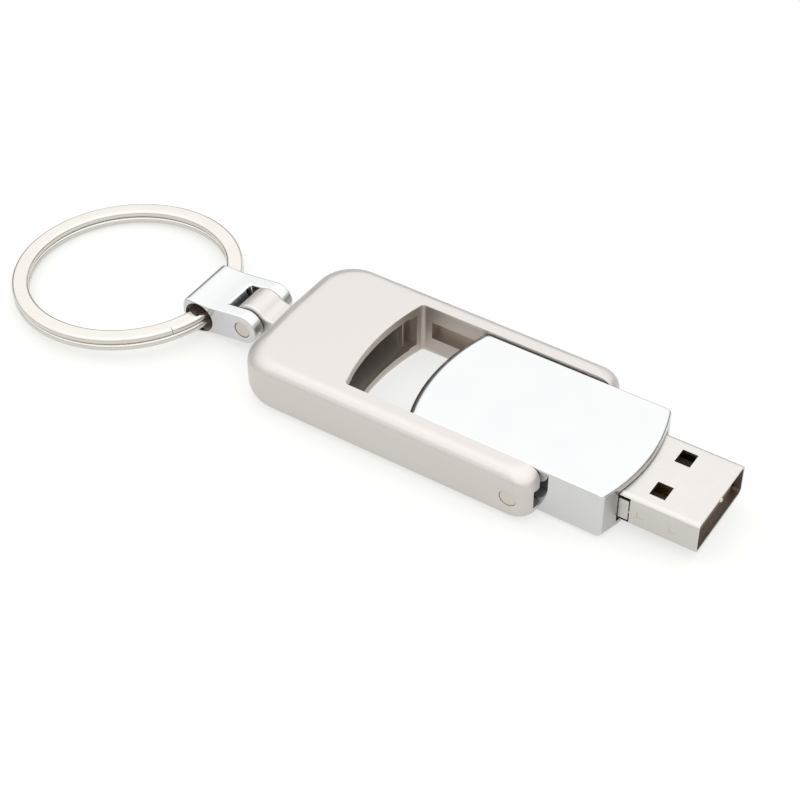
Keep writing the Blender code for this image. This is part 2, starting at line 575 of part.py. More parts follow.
def shackle_outline():
    """Side view: a large barrel, a waist of two tangent hollows, and the rounded ears."""
    big, small, waist = BARREL_RADIUS, SHACKLE_EAR_RADIUS, SHACKLE_WAIST_RADIUS
    reach = BORE_FROM_PIN
    waist_s = (reach ** 2 - (big - small) * (big + small + 2 * waist)) / (2 * reach)
    waist_t = math.sqrt((small + waist) ** 2 - waist_s ** 2)
    at_barrel = math.atan2(waist_t, waist_s - reach)
    at_ear = math.atan2(waist_t, waist_s)
    upper = arc((waist_s, waist_t), waist, at_ear - math.pi, at_barrel - math.pi, 8)[1:-1]
    outline = arc((reach, 0), big, -at_barrel, at_barrel, 18)
    outline += list(reversed(upper))
    outline += arc((0, 0), small, at_ear, 2 * math.pi - at_ear, 14)
    outline += [(s, -t) for s, t in upper]
    return outline


def fork_slot():
    """Cutter for the gap between the ears."""
    tall = BARREL_RADIUS + PAST
    corners = ((SLOT_FLOOR, -tall), (SLOT_FLOOR, tall),
               (-SHACKLE_EAR_RADIUS - PAST, tall), (-SHACKLE_EAR_RADIUS - PAST, -tall))
    return loft([[shackle_point(s, t, y) for s, t in corners] for y in (-SLOT_HALF, SLOT_HALF)])


def shackle():
    outline = shackle_outline()
    body = add_object("shackle", loft([[shackle_point(s, t, y) for s, t in outline]
                                       for y in (-SHACKLE_HALF, SHACKLE_HALF)]),
                      CHROME, SHACKLE_PIVOT)
    cut(body, "fork_slot", fork_slot())
    flare = BORE_RADIUS + BORE_FLARE
    slope = BORE_FLARE / BORE_FLARE_DEPTH
    over = BORE_FLARE_DEPTH / 8
    profile = [(-SHACKLE_HALF - over, flare + slope * over), (-BORE_STRAIGHT, BORE_RADIUS),
               (BORE_STRAIGHT, BORE_RADIUS), (SHACKLE_HALF + over, flare + slope * over)]
    cut(body, "ring_bore", turned(profile, (BORE_X, BORE_Z), 32))
    hole = SHACKLE_PIN_RADIUS + PRESS_GAP
    cut(body, "pin_hole", turned([(-SHACKLE_HALF - PAST, hole), (SHACKLE_HALF + PAST, hole)],
                                 (SHACKLE_PIN_X, MID_Z), 24))
    return body


def shackle_pin():
    end = SHACKLE_HALF - SHACKLE_PIN_RECESS
    return add_object("shackle_pin", turned([(-end, SHACKLE_PIN_RADIUS), (end, SHACKLE_PIN_RADIUS)],
                                            (SHACKLE_PIN_X, MID_Z), 24), NICKEL, SHACKLE_PIVOT)


# ---------------------------------------------------------------- key ring
def ring_matrix():
    """Places a ring drawn flat at the origin, with its nearest side in the bore."""
    turn = (Matrix.Rotation(-RING_PITCH, 4, "Y")
            @ Matrix.Rotation(math.radians(RING_ROLL), 4, "X"))
    nearest = turn @ Vector((RING_MEAN_RADIUS, 0, 0))
    at_bore = Vector((BORE_X + BORE_BOW / 2, RING_OFFSET, BORE_Z))
    return Matrix.Translation(at_bore - nearest) @ turn


def key_ring():
    """Two flat coils of one wire: the lower coil climbs to the upper one over a short ramp."""
    lower = -(RING_WIRE_HEIGHT + RING_COIL_GAP) / 2
    start = RING_RAMP_START + RING_RAMP
    stop = RING_RAMP_START + 720.0
    ramp_from = RING_RAMP_START + 360.0
    steps = 132
    inner = RING_RADIUS - RING_WIRE_WIDTH
    place = ring_matrix()
    sections = []
    for k in range(steps + 1):
        degrees = start + (stop - start) * k / steps
        climb = min(max((degrees - ramp_from) / RING_RAMP, 0.0), 1.0)
        height = lower - 2 * lower * climb * climb * (3 - 2 * climb)
        angle = math.radians(degrees)
        section = []
        for radius, side in ((inner, -1), (RING_RADIUS, -1), (RING_RADIUS, 1), (inner, 1)):
            level = height + side * RING_WIRE_HEIGHT / 2
            section.append(place @ Vector((radius * math.cos(angle), radius * math.sin(angle), level)))
        sections.append(section)
    return add_object("key_ring", loft(sections), NICKEL, RING_PIVOT)


# ---------------------------------------------------------------- assembly
frame_casting()
for arm_side, arm_name in ((-1, "near"), (1, "far")):
    stop_pin(arm_side, arm_name)
    slide_block(arm_side, arm_name)
    pivot_stud(arm_side, arm_name)
drive_housing()
usb_shell()
drive_insides()
shackle()
shackle_pin()
key_ring()
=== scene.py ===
"""Looks of a flip-over USB flash drive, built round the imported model.

A satin nickel casting holds a chromed drive between its arms; a chromed shackle and a polished
split ring hang on its knuckle.  Metres throughout, in the part's own frame: +X runs to the plug,
+Y across, and +Z up from the table.
"""
import json
import math

import bmesh
import bpy
from mathutils import Matrix, Vector


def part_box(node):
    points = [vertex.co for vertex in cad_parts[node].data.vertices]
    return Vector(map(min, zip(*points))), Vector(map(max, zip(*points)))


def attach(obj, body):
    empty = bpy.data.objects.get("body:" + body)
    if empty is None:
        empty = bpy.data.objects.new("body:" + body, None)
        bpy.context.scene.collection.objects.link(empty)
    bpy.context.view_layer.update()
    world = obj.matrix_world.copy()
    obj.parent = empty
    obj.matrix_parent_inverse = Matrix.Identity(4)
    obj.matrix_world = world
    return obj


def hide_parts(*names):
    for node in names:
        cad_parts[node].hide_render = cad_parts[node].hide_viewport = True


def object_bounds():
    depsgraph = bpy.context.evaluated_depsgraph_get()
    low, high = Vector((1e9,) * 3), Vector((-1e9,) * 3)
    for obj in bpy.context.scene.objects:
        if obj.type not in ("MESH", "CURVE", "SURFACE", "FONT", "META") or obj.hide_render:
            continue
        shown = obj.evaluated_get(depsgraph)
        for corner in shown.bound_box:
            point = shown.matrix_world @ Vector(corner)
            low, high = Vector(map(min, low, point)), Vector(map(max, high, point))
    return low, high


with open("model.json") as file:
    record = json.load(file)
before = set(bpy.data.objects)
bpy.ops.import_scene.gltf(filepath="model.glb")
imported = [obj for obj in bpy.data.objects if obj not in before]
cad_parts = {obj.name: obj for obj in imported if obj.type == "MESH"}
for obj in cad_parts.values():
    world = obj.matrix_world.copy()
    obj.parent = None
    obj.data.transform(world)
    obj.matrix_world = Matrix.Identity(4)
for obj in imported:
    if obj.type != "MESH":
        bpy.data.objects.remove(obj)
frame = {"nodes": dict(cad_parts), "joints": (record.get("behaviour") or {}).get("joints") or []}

MM = 0.001
CAD_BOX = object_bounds()

# ------------------------------------------------------------ places taken from the model
CASTING_LOW, CASTING_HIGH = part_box("frame_casting")
HOUSING_LOW, HOUSING_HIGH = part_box("drive_housing")
SHELL_LOW, SHELL_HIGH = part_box("usb_shell")
RING_LOW, RING_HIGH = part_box("key_ring")
SHACKLE_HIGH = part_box("shackle")[1]
STOP_LOW, STOP_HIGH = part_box("stop_pin_near")
SHACKLE_PIN_LOW, SHACKLE_PIN_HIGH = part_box("shackle_pin")
JOINT_AT = {j["name"]: Vector(j["pos_m"]) for j in frame["joints"] if "pos_m" in j}
PIVOT = JOINT_AT["drive_flip"]
SHACKLE_PIN = JOINT_AT["shackle_swing"]
RING_BORE = JOINT_AT["ring_swing"]
MID_Z = (CASTING_LOW.z + CASTING_HIGH.z) / 2
ARM_END_X = CASTING_HIGH.x
CASTING_HALF = CASTING_HIGH.y
HALF_THICK = (CASTING_HIGH.z - CASTING_LOW.z) / 2

# ------------------------------------------------------------ sizes of edges and walls
HOUSING_BULGE = 1.6 * MM
HOUSING_CORNER = 0.6 * MM
HOUSING_SIDE_EDGE = 0.35 * MM
HOUSING_FRONT_EDGE = 0.6 * MM
HOUSING_REAR_EDGE = 1.5 * MM
ROOM_WALL = 0.75 * MM
ROOM_SETBACK = 1.1 * MM            # end walls, less the bulge
ROOM_HALF = 7.34 * MM
MOUTH_GAP = 0.13 * MM
MOUTH_BEHIND = 0.35 * MM           # how far the mouth's step runs behind the plug shell
STUD_HOLE_RADIUS = 0.64 * MM

ARM_WIDTH = 2.95 * MM
ARM_OVERREACH = 1.08 * MM
WINDOW_BULGE = 1.3 * MM
WINDOW_CORNER = 0.6 * MM
WINDOW_EDGE = 0.22 * MM
TAIL_BULGE = 0.5 * MM
TAIL_CORNER = 4.8 * MM
ARM_END_CORNER = 2.2 * MM
ARM_INNER_CORNER = 0.8 * MM
SIDE_EDGE = 1.8 * MM
TAIL_EDGE = 2.6 * MM
ARM_END_EDGE = 2.4 * MM
CAVITY_DEPTH = 11.13 * MM
CAVITY_HALF = 6.5 * MM
CAVITY_HALF_HEIGHT = 2.57 * MM
STEP_WIDTH = 1.25 * MM
RIB_WIDTH = 0.3 * MM
RIB_ROOT = 0.02 * MM
RIB_DEPTH = 0.7 * MM
STEP_DEPTH = 1.1 * MM
STEP_DROP = 0.2 * MM
GROOVE_HALF_HEIGHT = 1.3 * MM
GROOVE_DEPTH = 1.6 * MM
GROOVE_START = 1.35 * MM
TAIL_LENGTH = 15.03 * MM           # from the window's corners to the casting's end
KNUCKLE_RADIUS = 2.45 * MM
KNUCKLE_HALF = 2.22 * MM
KNUCKLE_WEB = 2.6 * MM
KNUCKLE_EDGE = 0.4 * MM
KNUCKLE_FILLET = 2.0 * MM
PIN_HOLE_GAP = 0.012 * MM
PIN_CROWN = 0.05 * MM
STOP_SHANK_RADIUS = 0.75 * MM
STOP_NECK_GAP = 0.04 * MM
STOP_EDGE = 0.09 * MM
SHACKLE_PIN_EDGE = 0.1 * MM

SHACKLE_EAR = 2.1 * MM
SHACKLE_END = 2.598 * MM           # from the bore's centre to the ring end
SHACKLE_END_BOW = 4.75 * MM
SHACKLE_END_CORNER = 0.93 * MM
SHACKLE_CROWN = 3.2 * MM           # its swollen top over the bore
SHACKLE_SLOT_HALF = 2.3 * MM
SHACKLE_SLOT_FLOOR = 2.95 * MM
SHACKLE_EDGE = 0.28 * MM
BORE_RADIUS = 1.988 * MM
BORE_FLARE = 0.14 * MM
BORE_FLARE_DEPTH = 0.5 * MM
FLARE_PAST = 0.4 * MM              # how far the flare's cutter stands out of the bore
SHACKLE_PIN_GAP = 0.04 * MM

RING_RADIUS = 15.22 * MM
WIRE_WIDTH = 2.2 * MM
WIRE_HEIGHT = 0.98 * MM
WIRE_EDGE = 0.42 * MM
COIL_GAP = 0.02 * MM
RING_PITCH = 2.951                 # degrees down to its far side
RING_ROLL = -1.34
COIL_START = 8.0                   # degrees round the ring where the lower coil begins, inside the bore
COIL_ARC = 355.5
COIL_RAMP = 4.0
NICK_AT = 331.0                    # degrees round the ring where the wire's end shows as a nick
NICK_DEPTH = 0.4 * MM
NICK_WIDTH = 0.1 * MM
NICK_FOOT = 0.05 * MM              # above the seam, so that the lower coil stays whole

SHELL_WALL = 0.3 * MM
SHELL_CORNER = 0.75 * MM
LATCH_HOLE = Vector((2.0, 2.3, 0)) * MM
LATCH_SETBACK = 5.16 * MM
LATCH_OFFSET = 3.13 * MM
LEG_SETBACK = 8.6 * MM
LEG_SLITS = ((-1.78 * MM, -1.55 * MM), (1.45 * MM, 1.88 * MM))      # below and above the mid-plane
LEG_BRIDGE = (-0.35 * MM, -0.1 * MM)
LEG_RECESS = 0.07 * MM
LEG_GAP = 0.18 * MM
DENT_SETBACKS = (3.1 * MM, 7.2 * MM)
DENT_SIZE = 0.9 * MM
DENT_DEPTH = 0.05 * MM
BEAD_RADIUS = 0.36 * MM
BEAD_OFFSET = -0.4 * MM
BEAD_DROP = 0.1 * MM               # its centre, below the shell's inner face
BEAD_SETBACK = 0.3                 # of its radius, behind the mouth
BEAD_SQUASH = 0.8
SHELL_EDGE = 0.05 * MM

PAST = 1.0 * MM                    # how far a cutting tool runs past what it cuts
LAP = 0.2 * MM                     # how far joined pieces run into each other
TOUCH = 0.01 * MM                  # closer than this counts as the same place
SHARP = 0.6                        # radians: an edge that still has to be rounded
HOUSING_HALF = HOUSING_HIGH.y
HOUSING_X0 = HOUSING_LOW.x + HOUSING_BULGE
HOUSING_X1 = HOUSING_HIGH.x - HOUSING_BULGE
WINDOW_HALF = CASTING_HALF - ARM_WIDTH
WINDOW_X = ARM_END_X - (HOUSING_X1 - HOUSING_X0) - ARM_OVERREACH
TAIL_X = WINDOW_X - TAIL_LENGTH


# ------------------------------------------------------------ modelling by hand
def deselect():
    bpy.ops.object.select_all(action="DESELECT")


def placed(name, scale=(1.0, 1.0, 1.0)):
    """Name the primitive just added and put its place and size into its mesh."""
    piece = bpy.context.object
    piece.name = piece.data.name = name
    piece.scale = scale
    bpy.ops.object.transform_apply(location=True, rotation=True, scale=True)
    return piece


def cuboid(name, low, high):
    low, high = Vector(low), Vector(high)
    deselect()
    bpy.ops.mesh.primitive_cube_add(size=1.0, location=(low + high) / 2)
    return placed(name, high - low)


def rod(name, centre, radius, y0, y1, sides=64):
    """Cylinder along Y about a line through centre, which is (x, z)."""
    deselect()
    bpy.ops.mesh.primitive_cylinder_add(vertices=sides, radius=radius, depth=abs(y1 - y0),
                                        location=(centre[0], (y0 + y1) / 2, centre[1]),
                                        rotation=(math.pi / 2, 0.0, 0.0))
    return placed(name)


def open_mesh(piece, kind):
    """Enter edit mode with nothing selected."""
    deselect()
    piece.select_set(True)
    bpy.context.view_layer.objects.active = piece
    bpy.ops.object.mode_set(mode="EDIT")
    bpy.ops.mesh.select_mode(type=kind)
    bpy.ops.mesh.select_all(action="DESELECT")


def close_mesh():
    bpy.ops.object.mode_set(mode="OBJECT")


def pick(piece, items, test):
    """Select the vertices, edges or faces that pass the test; edit mode stays open."""
    mesh = bmesh.from_edit_mesh(piece.data)
    mesh.normal_update()
    for item in getattr(mesh, items):
        if test(item):
            item.select_set(True)
    mesh.select_flush_mode()
    bmesh.update_edit_mesh(piece.data)


def face_out(piece):
    open_mesh(piece, "VERT")
    bpy.ops.mesh.select_all(action="SELECT")
    bpy.ops.mesh.normals_make_consistent(inside=False)
    close_mesh()


def modify(piece, kind, **settings):
    deselect()
    piece.select_set(True)
    bpy.context.view_layer.objects.active = piece
    bpy.ops.object.modifier_add(type=kind)
    modifier = piece.modifiers[-1]
    for key, value in settings.items():
        setattr(modifier, key, value)
    bpy.ops.object.modifier_apply(modifier=modifier.name)


def combine(piece, tool, operation):
    modify(piece, "BOOLEAN", operation=operation, solver="EXACT", object=tool)
    bpy.data.objects.remove(tool)


def cut(piece, tool):
    combine(piece, tool, "DIFFERENCE")


def soften(piece, width, segments=3, degrees=38.0):
    """Round every edge sharper than the angle."""
    modify(piece, "BEVEL", width=width, segments=segments, limit_method="ANGLE",
           angle_limit=math.radians(degrees), harden_normals=False, use_clamp_overlap=True)


def polish_normals(piece, degrees=40.0):
    """Smooth shading that keeps the flat faces optically flat."""
    deselect()
    piece.select_set(True)
    bpy.context.view_layer.objects.active = piece
    bpy.ops.object.shade_smooth_by_angle(angle=math.radians(degrees), keep_sharp_edges=False)
    modify(piece, "WEIGHTED_NORMAL", mode="FACE_AREA", weight=80, keep_sharp=True)


def draw_outline(name, start, heading, moves, low, high, facet=5.0):
    """Closed solid from a pen's path: ("go", length) or ("turn", radius, degrees), left positive."""
    height = high - low
    deselect()
    bpy.ops.mesh.primitive_plane_add(size=height, rotation=(math.pi / 2, 0.0, 0.0),
                                     location=(start[0] - height / 2, start[1], (low + high) / 2))
    piece = placed(name)
    open_mesh(piece, "VERT")
    pick(piece, "verts", lambda v: v.co.x < start[0] - height / 2)
    bpy.ops.mesh.delete(type="VERT")
    bpy.ops.mesh.select_mode(type="EDGE")
    bpy.ops.mesh.select_all(action="SELECT")
    pen = Vector(start)
    angle = math.radians(heading)
    for move in moves:
        along = Vector((math.cos(angle), math.sin(angle)))
        if move[0] == "go":
            step = along * move[1]
            bpy.ops.mesh.extrude_region_move(TRANSFORM_OT_translate={"value": (*step, 0.0)})
            pen += step
            continue
        radius, turn = move[1], math.radians(move[2])
        if radius == 0.0:
            angle += turn
            continue
        left = Vector((-along.y, along.x)) * math.copysign(radius, turn)
        centre = pen + left
        bpy.ops.mesh.spin(steps=max(2, math.ceil(abs(move[2]) / facet)), angle=-turn,
                          center=(*centre, 0.0), axis=(0.0, 0.0, 1.0))
        pen = centre + Matrix.Rotation(turn, 2) @ -left
        angle += turn
    if (pen - Vector(start)).length > 0.002 * MM:
        raise ValueError("%s doesn't close: %s from %s" % (name, pen, start))
    bpy.ops.mesh.select_mode(type="VERT")
    bpy.ops.mesh.select_all(action="SELECT")
    bpy.ops.mesh.remove_doubles(threshold=0.003 * MM)
    for level in (low, high):
        bpy.ops.mesh.select_all(action="DESELECT")
        pick(piece, "verts", lambda v: abs(v.co.z - level) < TOUCH)
        bpy.ops.mesh.edge_face_add()
    close_mesh()
    face_out(piece)
    return piece


def end_moves(half, corner, bulge):
    """Moves round one end of a slab, and how far its straight sides stop short of that end."""
    if bulge == 0.0:
        return [("turn", corner, 90.0), ("go", 2 * (half - corner)), ("turn", corner, 90.0)], corner
    bow = (half ** 2 + bulge ** 2) / (2 * bulge)
    lean = math.asin((half - corner) / (bow - corner))
    short = (bow - bulge) - (bow - corner) * math.cos(lean)
    into = 90.0 - math.degrees(lean)
    return [("turn", corner, into), ("turn", bow, 2 * math.degrees(lean)), ("turn", corner, into)], short


def slab(name, x0, x1, half, end0, end1, low, high, facet=5.0):
    """Plate with straight sides along X; each end is (corner radius, bulge)."""
    moves0, short0 = end_moves(half, *end0)
    moves1, short1 = end_moves(half, *end1)
    side = ("go", (x1 - short1) - (x0 + short0))
    return draw_outline(name, (x1 - short1, half), 180.0, [side] + moves0 + [side] + moves1,
                        low, high, facet)


def inset_at(height, half, radius):
    """How far an edge of this radius has drawn in at a height above the mid-plane."""
    past_flat = height - (half - radius)
    return radius - math.sqrt(max(radius ** 2 - max(past_flat, 0.0) ** 2, 0.0))


def rounded_slab(name, x0, x1, half, end0, end1, half_thick, radii, steps=7, facet=5.0):
    """Slab about the mid-plane z = 0 whose rims are rounded: radii are side, x0 end, x1 end."""
    heights = {half_thick - r * (1 - math.sin(math.pi / 2 * k / steps))
               for r in radii for k in range(steps + 1)}
    heights = sorted(h for h in heights if h > 0)
    levels = [heights[0]]
    for height in heights[1:]:
        if height - levels[-1] > 0.004 * MM:
            levels.append(height)
    piece = slab(name, x0, x1, half, end0, end1, 0.0, levels[0], facet)
    side_r, r0, r1 = radii
    low_x, high_x = x0 - end0[1], x1 + end1[1]
    open_mesh(piece, "FACE")
    pick(piece, "faces", lambda f: f.normal.z < -0.9)
    bpy.ops.mesh.delete(type="FACE")
    pick(piece, "faces", lambda f: f.normal.z > 0.9)
    reach, was = (low_x, high_x, half), levels[0]
    for level in levels[1:]:
        now = (low_x + inset_at(level, half_thick, r0), high_x - inset_at(level, half_thick, r1),
               half - inset_at(level, half_thick, side_r))
        middle = (reach[0] + reach[1]) / 2
        bpy.ops.mesh.extrude_region_move(TRANSFORM_OT_translate={"value": (0.0, 0.0, level - was)})
        bpy.ops.transform.resize(value=((now[1] - now[0]) / (reach[1] - reach[0]), now[2] / reach[2], 1.0),
                                 center_override=(middle, 0.0, level))
        bpy.ops.transform.translate(value=((now[0] + now[1]) / 2 - middle, 0.0, 0.0))
        reach, was = now, level
    close_mesh()
    modify(piece, "MIRROR", use_axis=(False, False, True), use_mirror_merge=True,
           merge_threshold=0.002 * MM)
    face_out(piece)
    return piece


def place(piece, matrix):
    """Move a finished shape and keep its place in its mesh."""
    deselect()
    piece.select_set(True)
    bpy.context.view_layer.objects.active = piece
    piece.matrix_world = matrix
    bpy.ops.object.transform_apply(location=True, rotation=True, scale=True)
    return piece


def lift(piece):
    return place(piece, Matrix.Translation((0.0, 0.0, MID_Z)))


# ------------------------------------------------------------ materials
FADE = 0.3 * MM                    # how far a finish takes to turn into the next
SHORT_FADE = 0.2 * MM
SHADED_WALLS_SHORT = 3.8 * MM             # where the window walls' painted shade ends, short of the arm ends


def linear(colour):
    """An sRGB hex colour as linear RGBA."""
    values = [int(colour[i:i + 2], 16) / 255 for i in (1, 3, 5)]
    return (*[v / 12.92 if v <= 0.04045 else ((v + 0.055) / 1.055) ** 2.4 for v in values], 1.0)


def add(material, kind, inputs=None, **settings):
    """Add a node: settings are its own properties, inputs are values or sockets to link from."""
    tree = material.node_tree
    made = tree.nodes.new(kind)
    for key, value in settings.items():
        setattr(made, key, value)
    for key, value in (inputs or {}).items():
        if isinstance(value, bpy.types.NodeSocket):
            tree.links.new(value, made.inputs[key])
        else:
            made.inputs[key].default_value = value
    return made


def blank(name):
    material = bpy.data.materials.new(name)
    material.use_nodes = True
    material.node_tree.nodes.clear()
    return material


def within(material, where, middle, half, soft):
    """1 inside a box about a point, falling to 0 over a short way inside its sides."""
    off = add(material, "ShaderNodeVectorMath", {0: where, 1: middle}, operation="SUBTRACT")
    away = add(material, "ShaderNodeVectorMath", {0: off.outputs[0]}, operation="ABSOLUTE")
    past = add(material, "ShaderNodeVectorMath", {0: away.outputs[0], 1: half}, operation="SUBTRACT")
    parts = add(material, "ShaderNodeSeparateXYZ", {"Vector": past.outputs[0]})
    wider = add(material, "ShaderNodeMath", {0: parts.outputs["X"], 1: parts.outputs["Y"]},
                operation="MAXIMUM")
    most = add(material, "ShaderNodeMath", {0: wider.outputs[0], 1: parts.outputs["Z"]},
               operation="MAXIMUM")
    return add(material, "ShaderNodeMapRange", {"Value": most.outputs[0], "From Min": -soft,
                                                "From Max": 0.0, "To Min": 1.0, "To Max": 0.0},
               interpolation_type="SMOOTHSTEP").outputs["Result"]


def satin_nickel():
    """Zinc casting, bead blasted and pearl-nickel plated: a fine even grain with a soft gloss.

    The window's walls are painted darker and browner than the plating, as painted shade, and the cavity
    behind the window is painted a little lighter, as painted light.  The grain is drawn at 0.12 mm,
    about twice as coarse as the blast leaves it, so that it shows.
    """
    material = blank("bead_blasted_pearl_nickel")
    where = add(material, "ShaderNodeTexCoord").outputs["Object"]
    # Painted shade: the window's walls get a darker, browner colour than the plating.
    near_x, far_x = WINDOW_X - WINDOW_BULGE - STEP_DEPTH - FADE, ARM_END_X - SHADED_WALLS_SHORT
    walls = within(material, where, ((near_x + far_x) / 2, 0.0, MID_Z),
                   ((far_x - near_x) / 2, WINDOW_HALF + GROOVE_DEPTH + FADE, HALF_THICK - FADE / 2), FADE)
    # Painted light: the cavity behind the window gets a lighter colour than the plating, to lift its
    # shade.
    deep_x, lip_x = WINDOW_X - CAVITY_DEPTH - FADE, WINDOW_X - WINDOW_BULGE - SHORT_FADE
    cavity_painted_light = within(material, where, ((deep_x + lip_x) / 2, 0.0, MID_Z),
                  ((lip_x - deep_x) / 2, CAVITY_HALF + FADE, CAVITY_HALF_HEIGHT + FADE), SHORT_FADE)
    blast = add(material, "ShaderNodeTexNoise", {"Vector": where, "Scale": 1.0 / (0.12 * MM),
                                                 "Detail": 2.0}).outputs["Fac"]
    drift = add(material, "ShaderNodeTexNoise", {"Vector": where, "Scale": 1.0 / (6.0 * MM),
                                                 "Detail": 3.0}).outputs["Fac"]
    plated = add(material, "ShaderNodeMix", {0: drift, 6: linear("#C8C3BF"), 7: linear("#CDC9C6")},
                 data_type="RGBA").outputs[2]
    wall_shaded_colour = add(material, "ShaderNodeMix", {0: walls, 6: plated, 7: linear("#BDB4AB")},
                  data_type="RGBA").outputs[2]
    colour = add(material, "ShaderNodeMix", {0: cavity_painted_light, 6: wall_shaded_colour, 7: linear("#CEC7C1")},
                 data_type="RGBA").outputs[2]
    gloss = add(material, "ShaderNodeMapRange", {"Value": drift, "From Min": 0.3, "From Max": 0.7,
                                                 "To Min": 0.42, "To Max": 0.48}).outputs["Result"]
    relief = add(material, "ShaderNodeBump", {"Height": blast, "Distance": 0.004 * MM,
                                              "Strength": 0.6}).outputs["Normal"]
    shader = add(material, "ShaderNodeBsdfPrincipled", {"Base Color": colour, "Roughness": gloss,
                                                        "Metallic": 1.0, "Normal": relief})
    add(material, "ShaderNodeOutputMaterial", {"Surface": shader.outputs["BSDF"]})
    return material


def chrome_plate():
    """Polished chrome over a casting: mirror bright, with the faint waviness of hand buffing.

    The plating hardly reaches into the ring's bore, which stays dull, dark and brown.  The wall round
    the plug is made rougher, and its flatter grey colour is painted shade.
    """
    material = blank("polished_chrome_plate")
    where = add(material, "ShaderNodeTexCoord").outputs["Object"]
    bore = BORE_RADIUS + 0.03 * MM
    bare = within(material, where, (RING_BORE.x, 0.0, RING_BORE.z),
                  (bore, SHACKLE_HIGH.y - 0.12 * MM, bore), 0.1 * MM)
    # Painted shade: the wall round the plug gets a flatter grey colour, as well as a rougher gloss.
    front_shade_and_dull = within(material, where, ((HOUSING_X1 + HOUSING_HIGH.x) / 2, 0.0, MID_Z),
                   (HOUSING_BULGE / 2 + SHORT_FADE, HOUSING_HALF - FADE,
                    (HOUSING_HIGH.z - HOUSING_LOW.z) / 2 - 1.5 * FADE), SHORT_FADE)
    along = add(material, "ShaderNodeMapping", {"Vector": where, "Scale": (0.12, 1.0, 1.0)})
    wave = add(material, "ShaderNodeTexNoise", {"Vector": where, "Scale": 1.0 / (5.0 * MM),
                                                "Detail": 1.0}).outputs["Fac"]
    wipe = add(material, "ShaderNodeTexNoise", {"Vector": along.outputs["Vector"],
                                                "Scale": 1.0 / (0.5 * MM), "Detail": 3.0}).outputs["Fac"]
    plated = add(material, "ShaderNodeMix", {0: wave, 6: linear("#CBCCCD"), 7: linear("#CECFCF")},
                 data_type="RGBA").outputs[2]
    front_shaded_colour = add(material, "ShaderNodeMix", {0: front_shade_and_dull, 6: plated, 7: linear("#BAB9B7")},
                 data_type="RGBA").outputs[2]
    colour = add(material, "ShaderNodeMix", {0: bare, 6: front_shaded_colour, 7: linear("#8E8078")},
                 data_type="RGBA").outputs[2]
    buffed = add(material, "ShaderNodeMapRange", {"Value": wipe, "From Min": 0.3, "From Max": 0.7,
                                                  "To Min": 0.035, "To Max": 0.075}).outputs["Result"]
    greyed_gloss = add(material, "ShaderNodeMath", {0: front_shade_and_dull, 1: 0.3, 2: buffed},
                       operation="MULTIPLY_ADD").outputs[0]
    gloss = add(material, "ShaderNodeMath", {0: bare, 1: 0.5, 2: greyed_gloss},
                operation="MULTIPLY_ADD").outputs[0]
    metal = add(material, "ShaderNodeMath", {0: 1.0, 1: bare}, operation="SUBTRACT").outputs[0]
    relief = add(material, "ShaderNodeBump", {"Height": wave, "Distance": 0.004 * MM,
                                              "Strength": 0.5}).outputs["Normal"]
    shader = add(material, "ShaderNodeBsdfPrincipled", {"Base Color": colour, "Roughness": gloss,
                                                        "Metallic": metal, "Normal": relief})
    add(material, "ShaderNodeOutputMaterial", {"Surface": shader.outputs["BSDF"]})
    return material


def tinned_shell():
    """Cold-rolled steel sheet, tin plated: a milky half-gloss with rolling marks along the plug.

    Its inside is painted a darker brown than the outside, as painted shade.
    """
    material = blank("tinned_steel_sheet")
    where = add(material, "ShaderNodeTexCoord").outputs["Object"]
    skin = SHELL_WALL - 0.04 * MM
    # Painted shade: the shell's inside gets a darker, browner colour than its outside.
    inside = within(material, where, ((SHELL_LOW.x + SHELL_HIGH.x) / 2, 0.0, MID_Z),
                    ((SHELL_HIGH.x - SHELL_LOW.x) / 2 - 0.02 * MM, SHELL_HIGH.y - skin,
                     (SHELL_HIGH.z - SHELL_LOW.z) / 2 - skin), 0.03 * MM)
    along = add(material, "ShaderNodeMapping", {"Vector": where, "Scale": (0.06, 1.0, 1.0)})
    roll = add(material, "ShaderNodeTexNoise", {"Vector": along.outputs["Vector"],
                                                "Scale": 1.0 / (0.1 * MM), "Detail": 3.0}).outputs["Fac"]
    drift = add(material, "ShaderNodeTexNoise", {"Vector": where, "Scale": 1.0 / (3.0 * MM),
                                                 "Detail": 3.0}).outputs["Fac"]
    outside = add(material, "ShaderNodeMix", {0: drift, 6: linear("#C4C0BC"), 7: linear("#CAC6C2")},
                  data_type="RGBA").outputs[2]
    colour = add(material, "ShaderNodeMix", {0: inside, 6: outside, 7: linear("#AB9F95")},
                 data_type="RGBA").outputs[2]
    gloss = add(material, "ShaderNodeMapRange", {"Value": roll, "From Min": 0.3, "From Max": 0.7,
                                                 "To Min": 0.27, "To Max": 0.36}).outputs["Result"]
    relief = add(material, "ShaderNodeBump", {"Height": roll, "Distance": 0.003 * MM,
                                              "Strength": 0.5}).outputs["Normal"]
    shader = add(material, "ShaderNodeBsdfPrincipled", {"Base Color": colour, "Roughness": gloss,
                                                        "Metallic": 1.0, "Normal": relief})
    add(material, "ShaderNodeOutputMaterial", {"Surface": shader.outputs["BSDF"]})
    return material


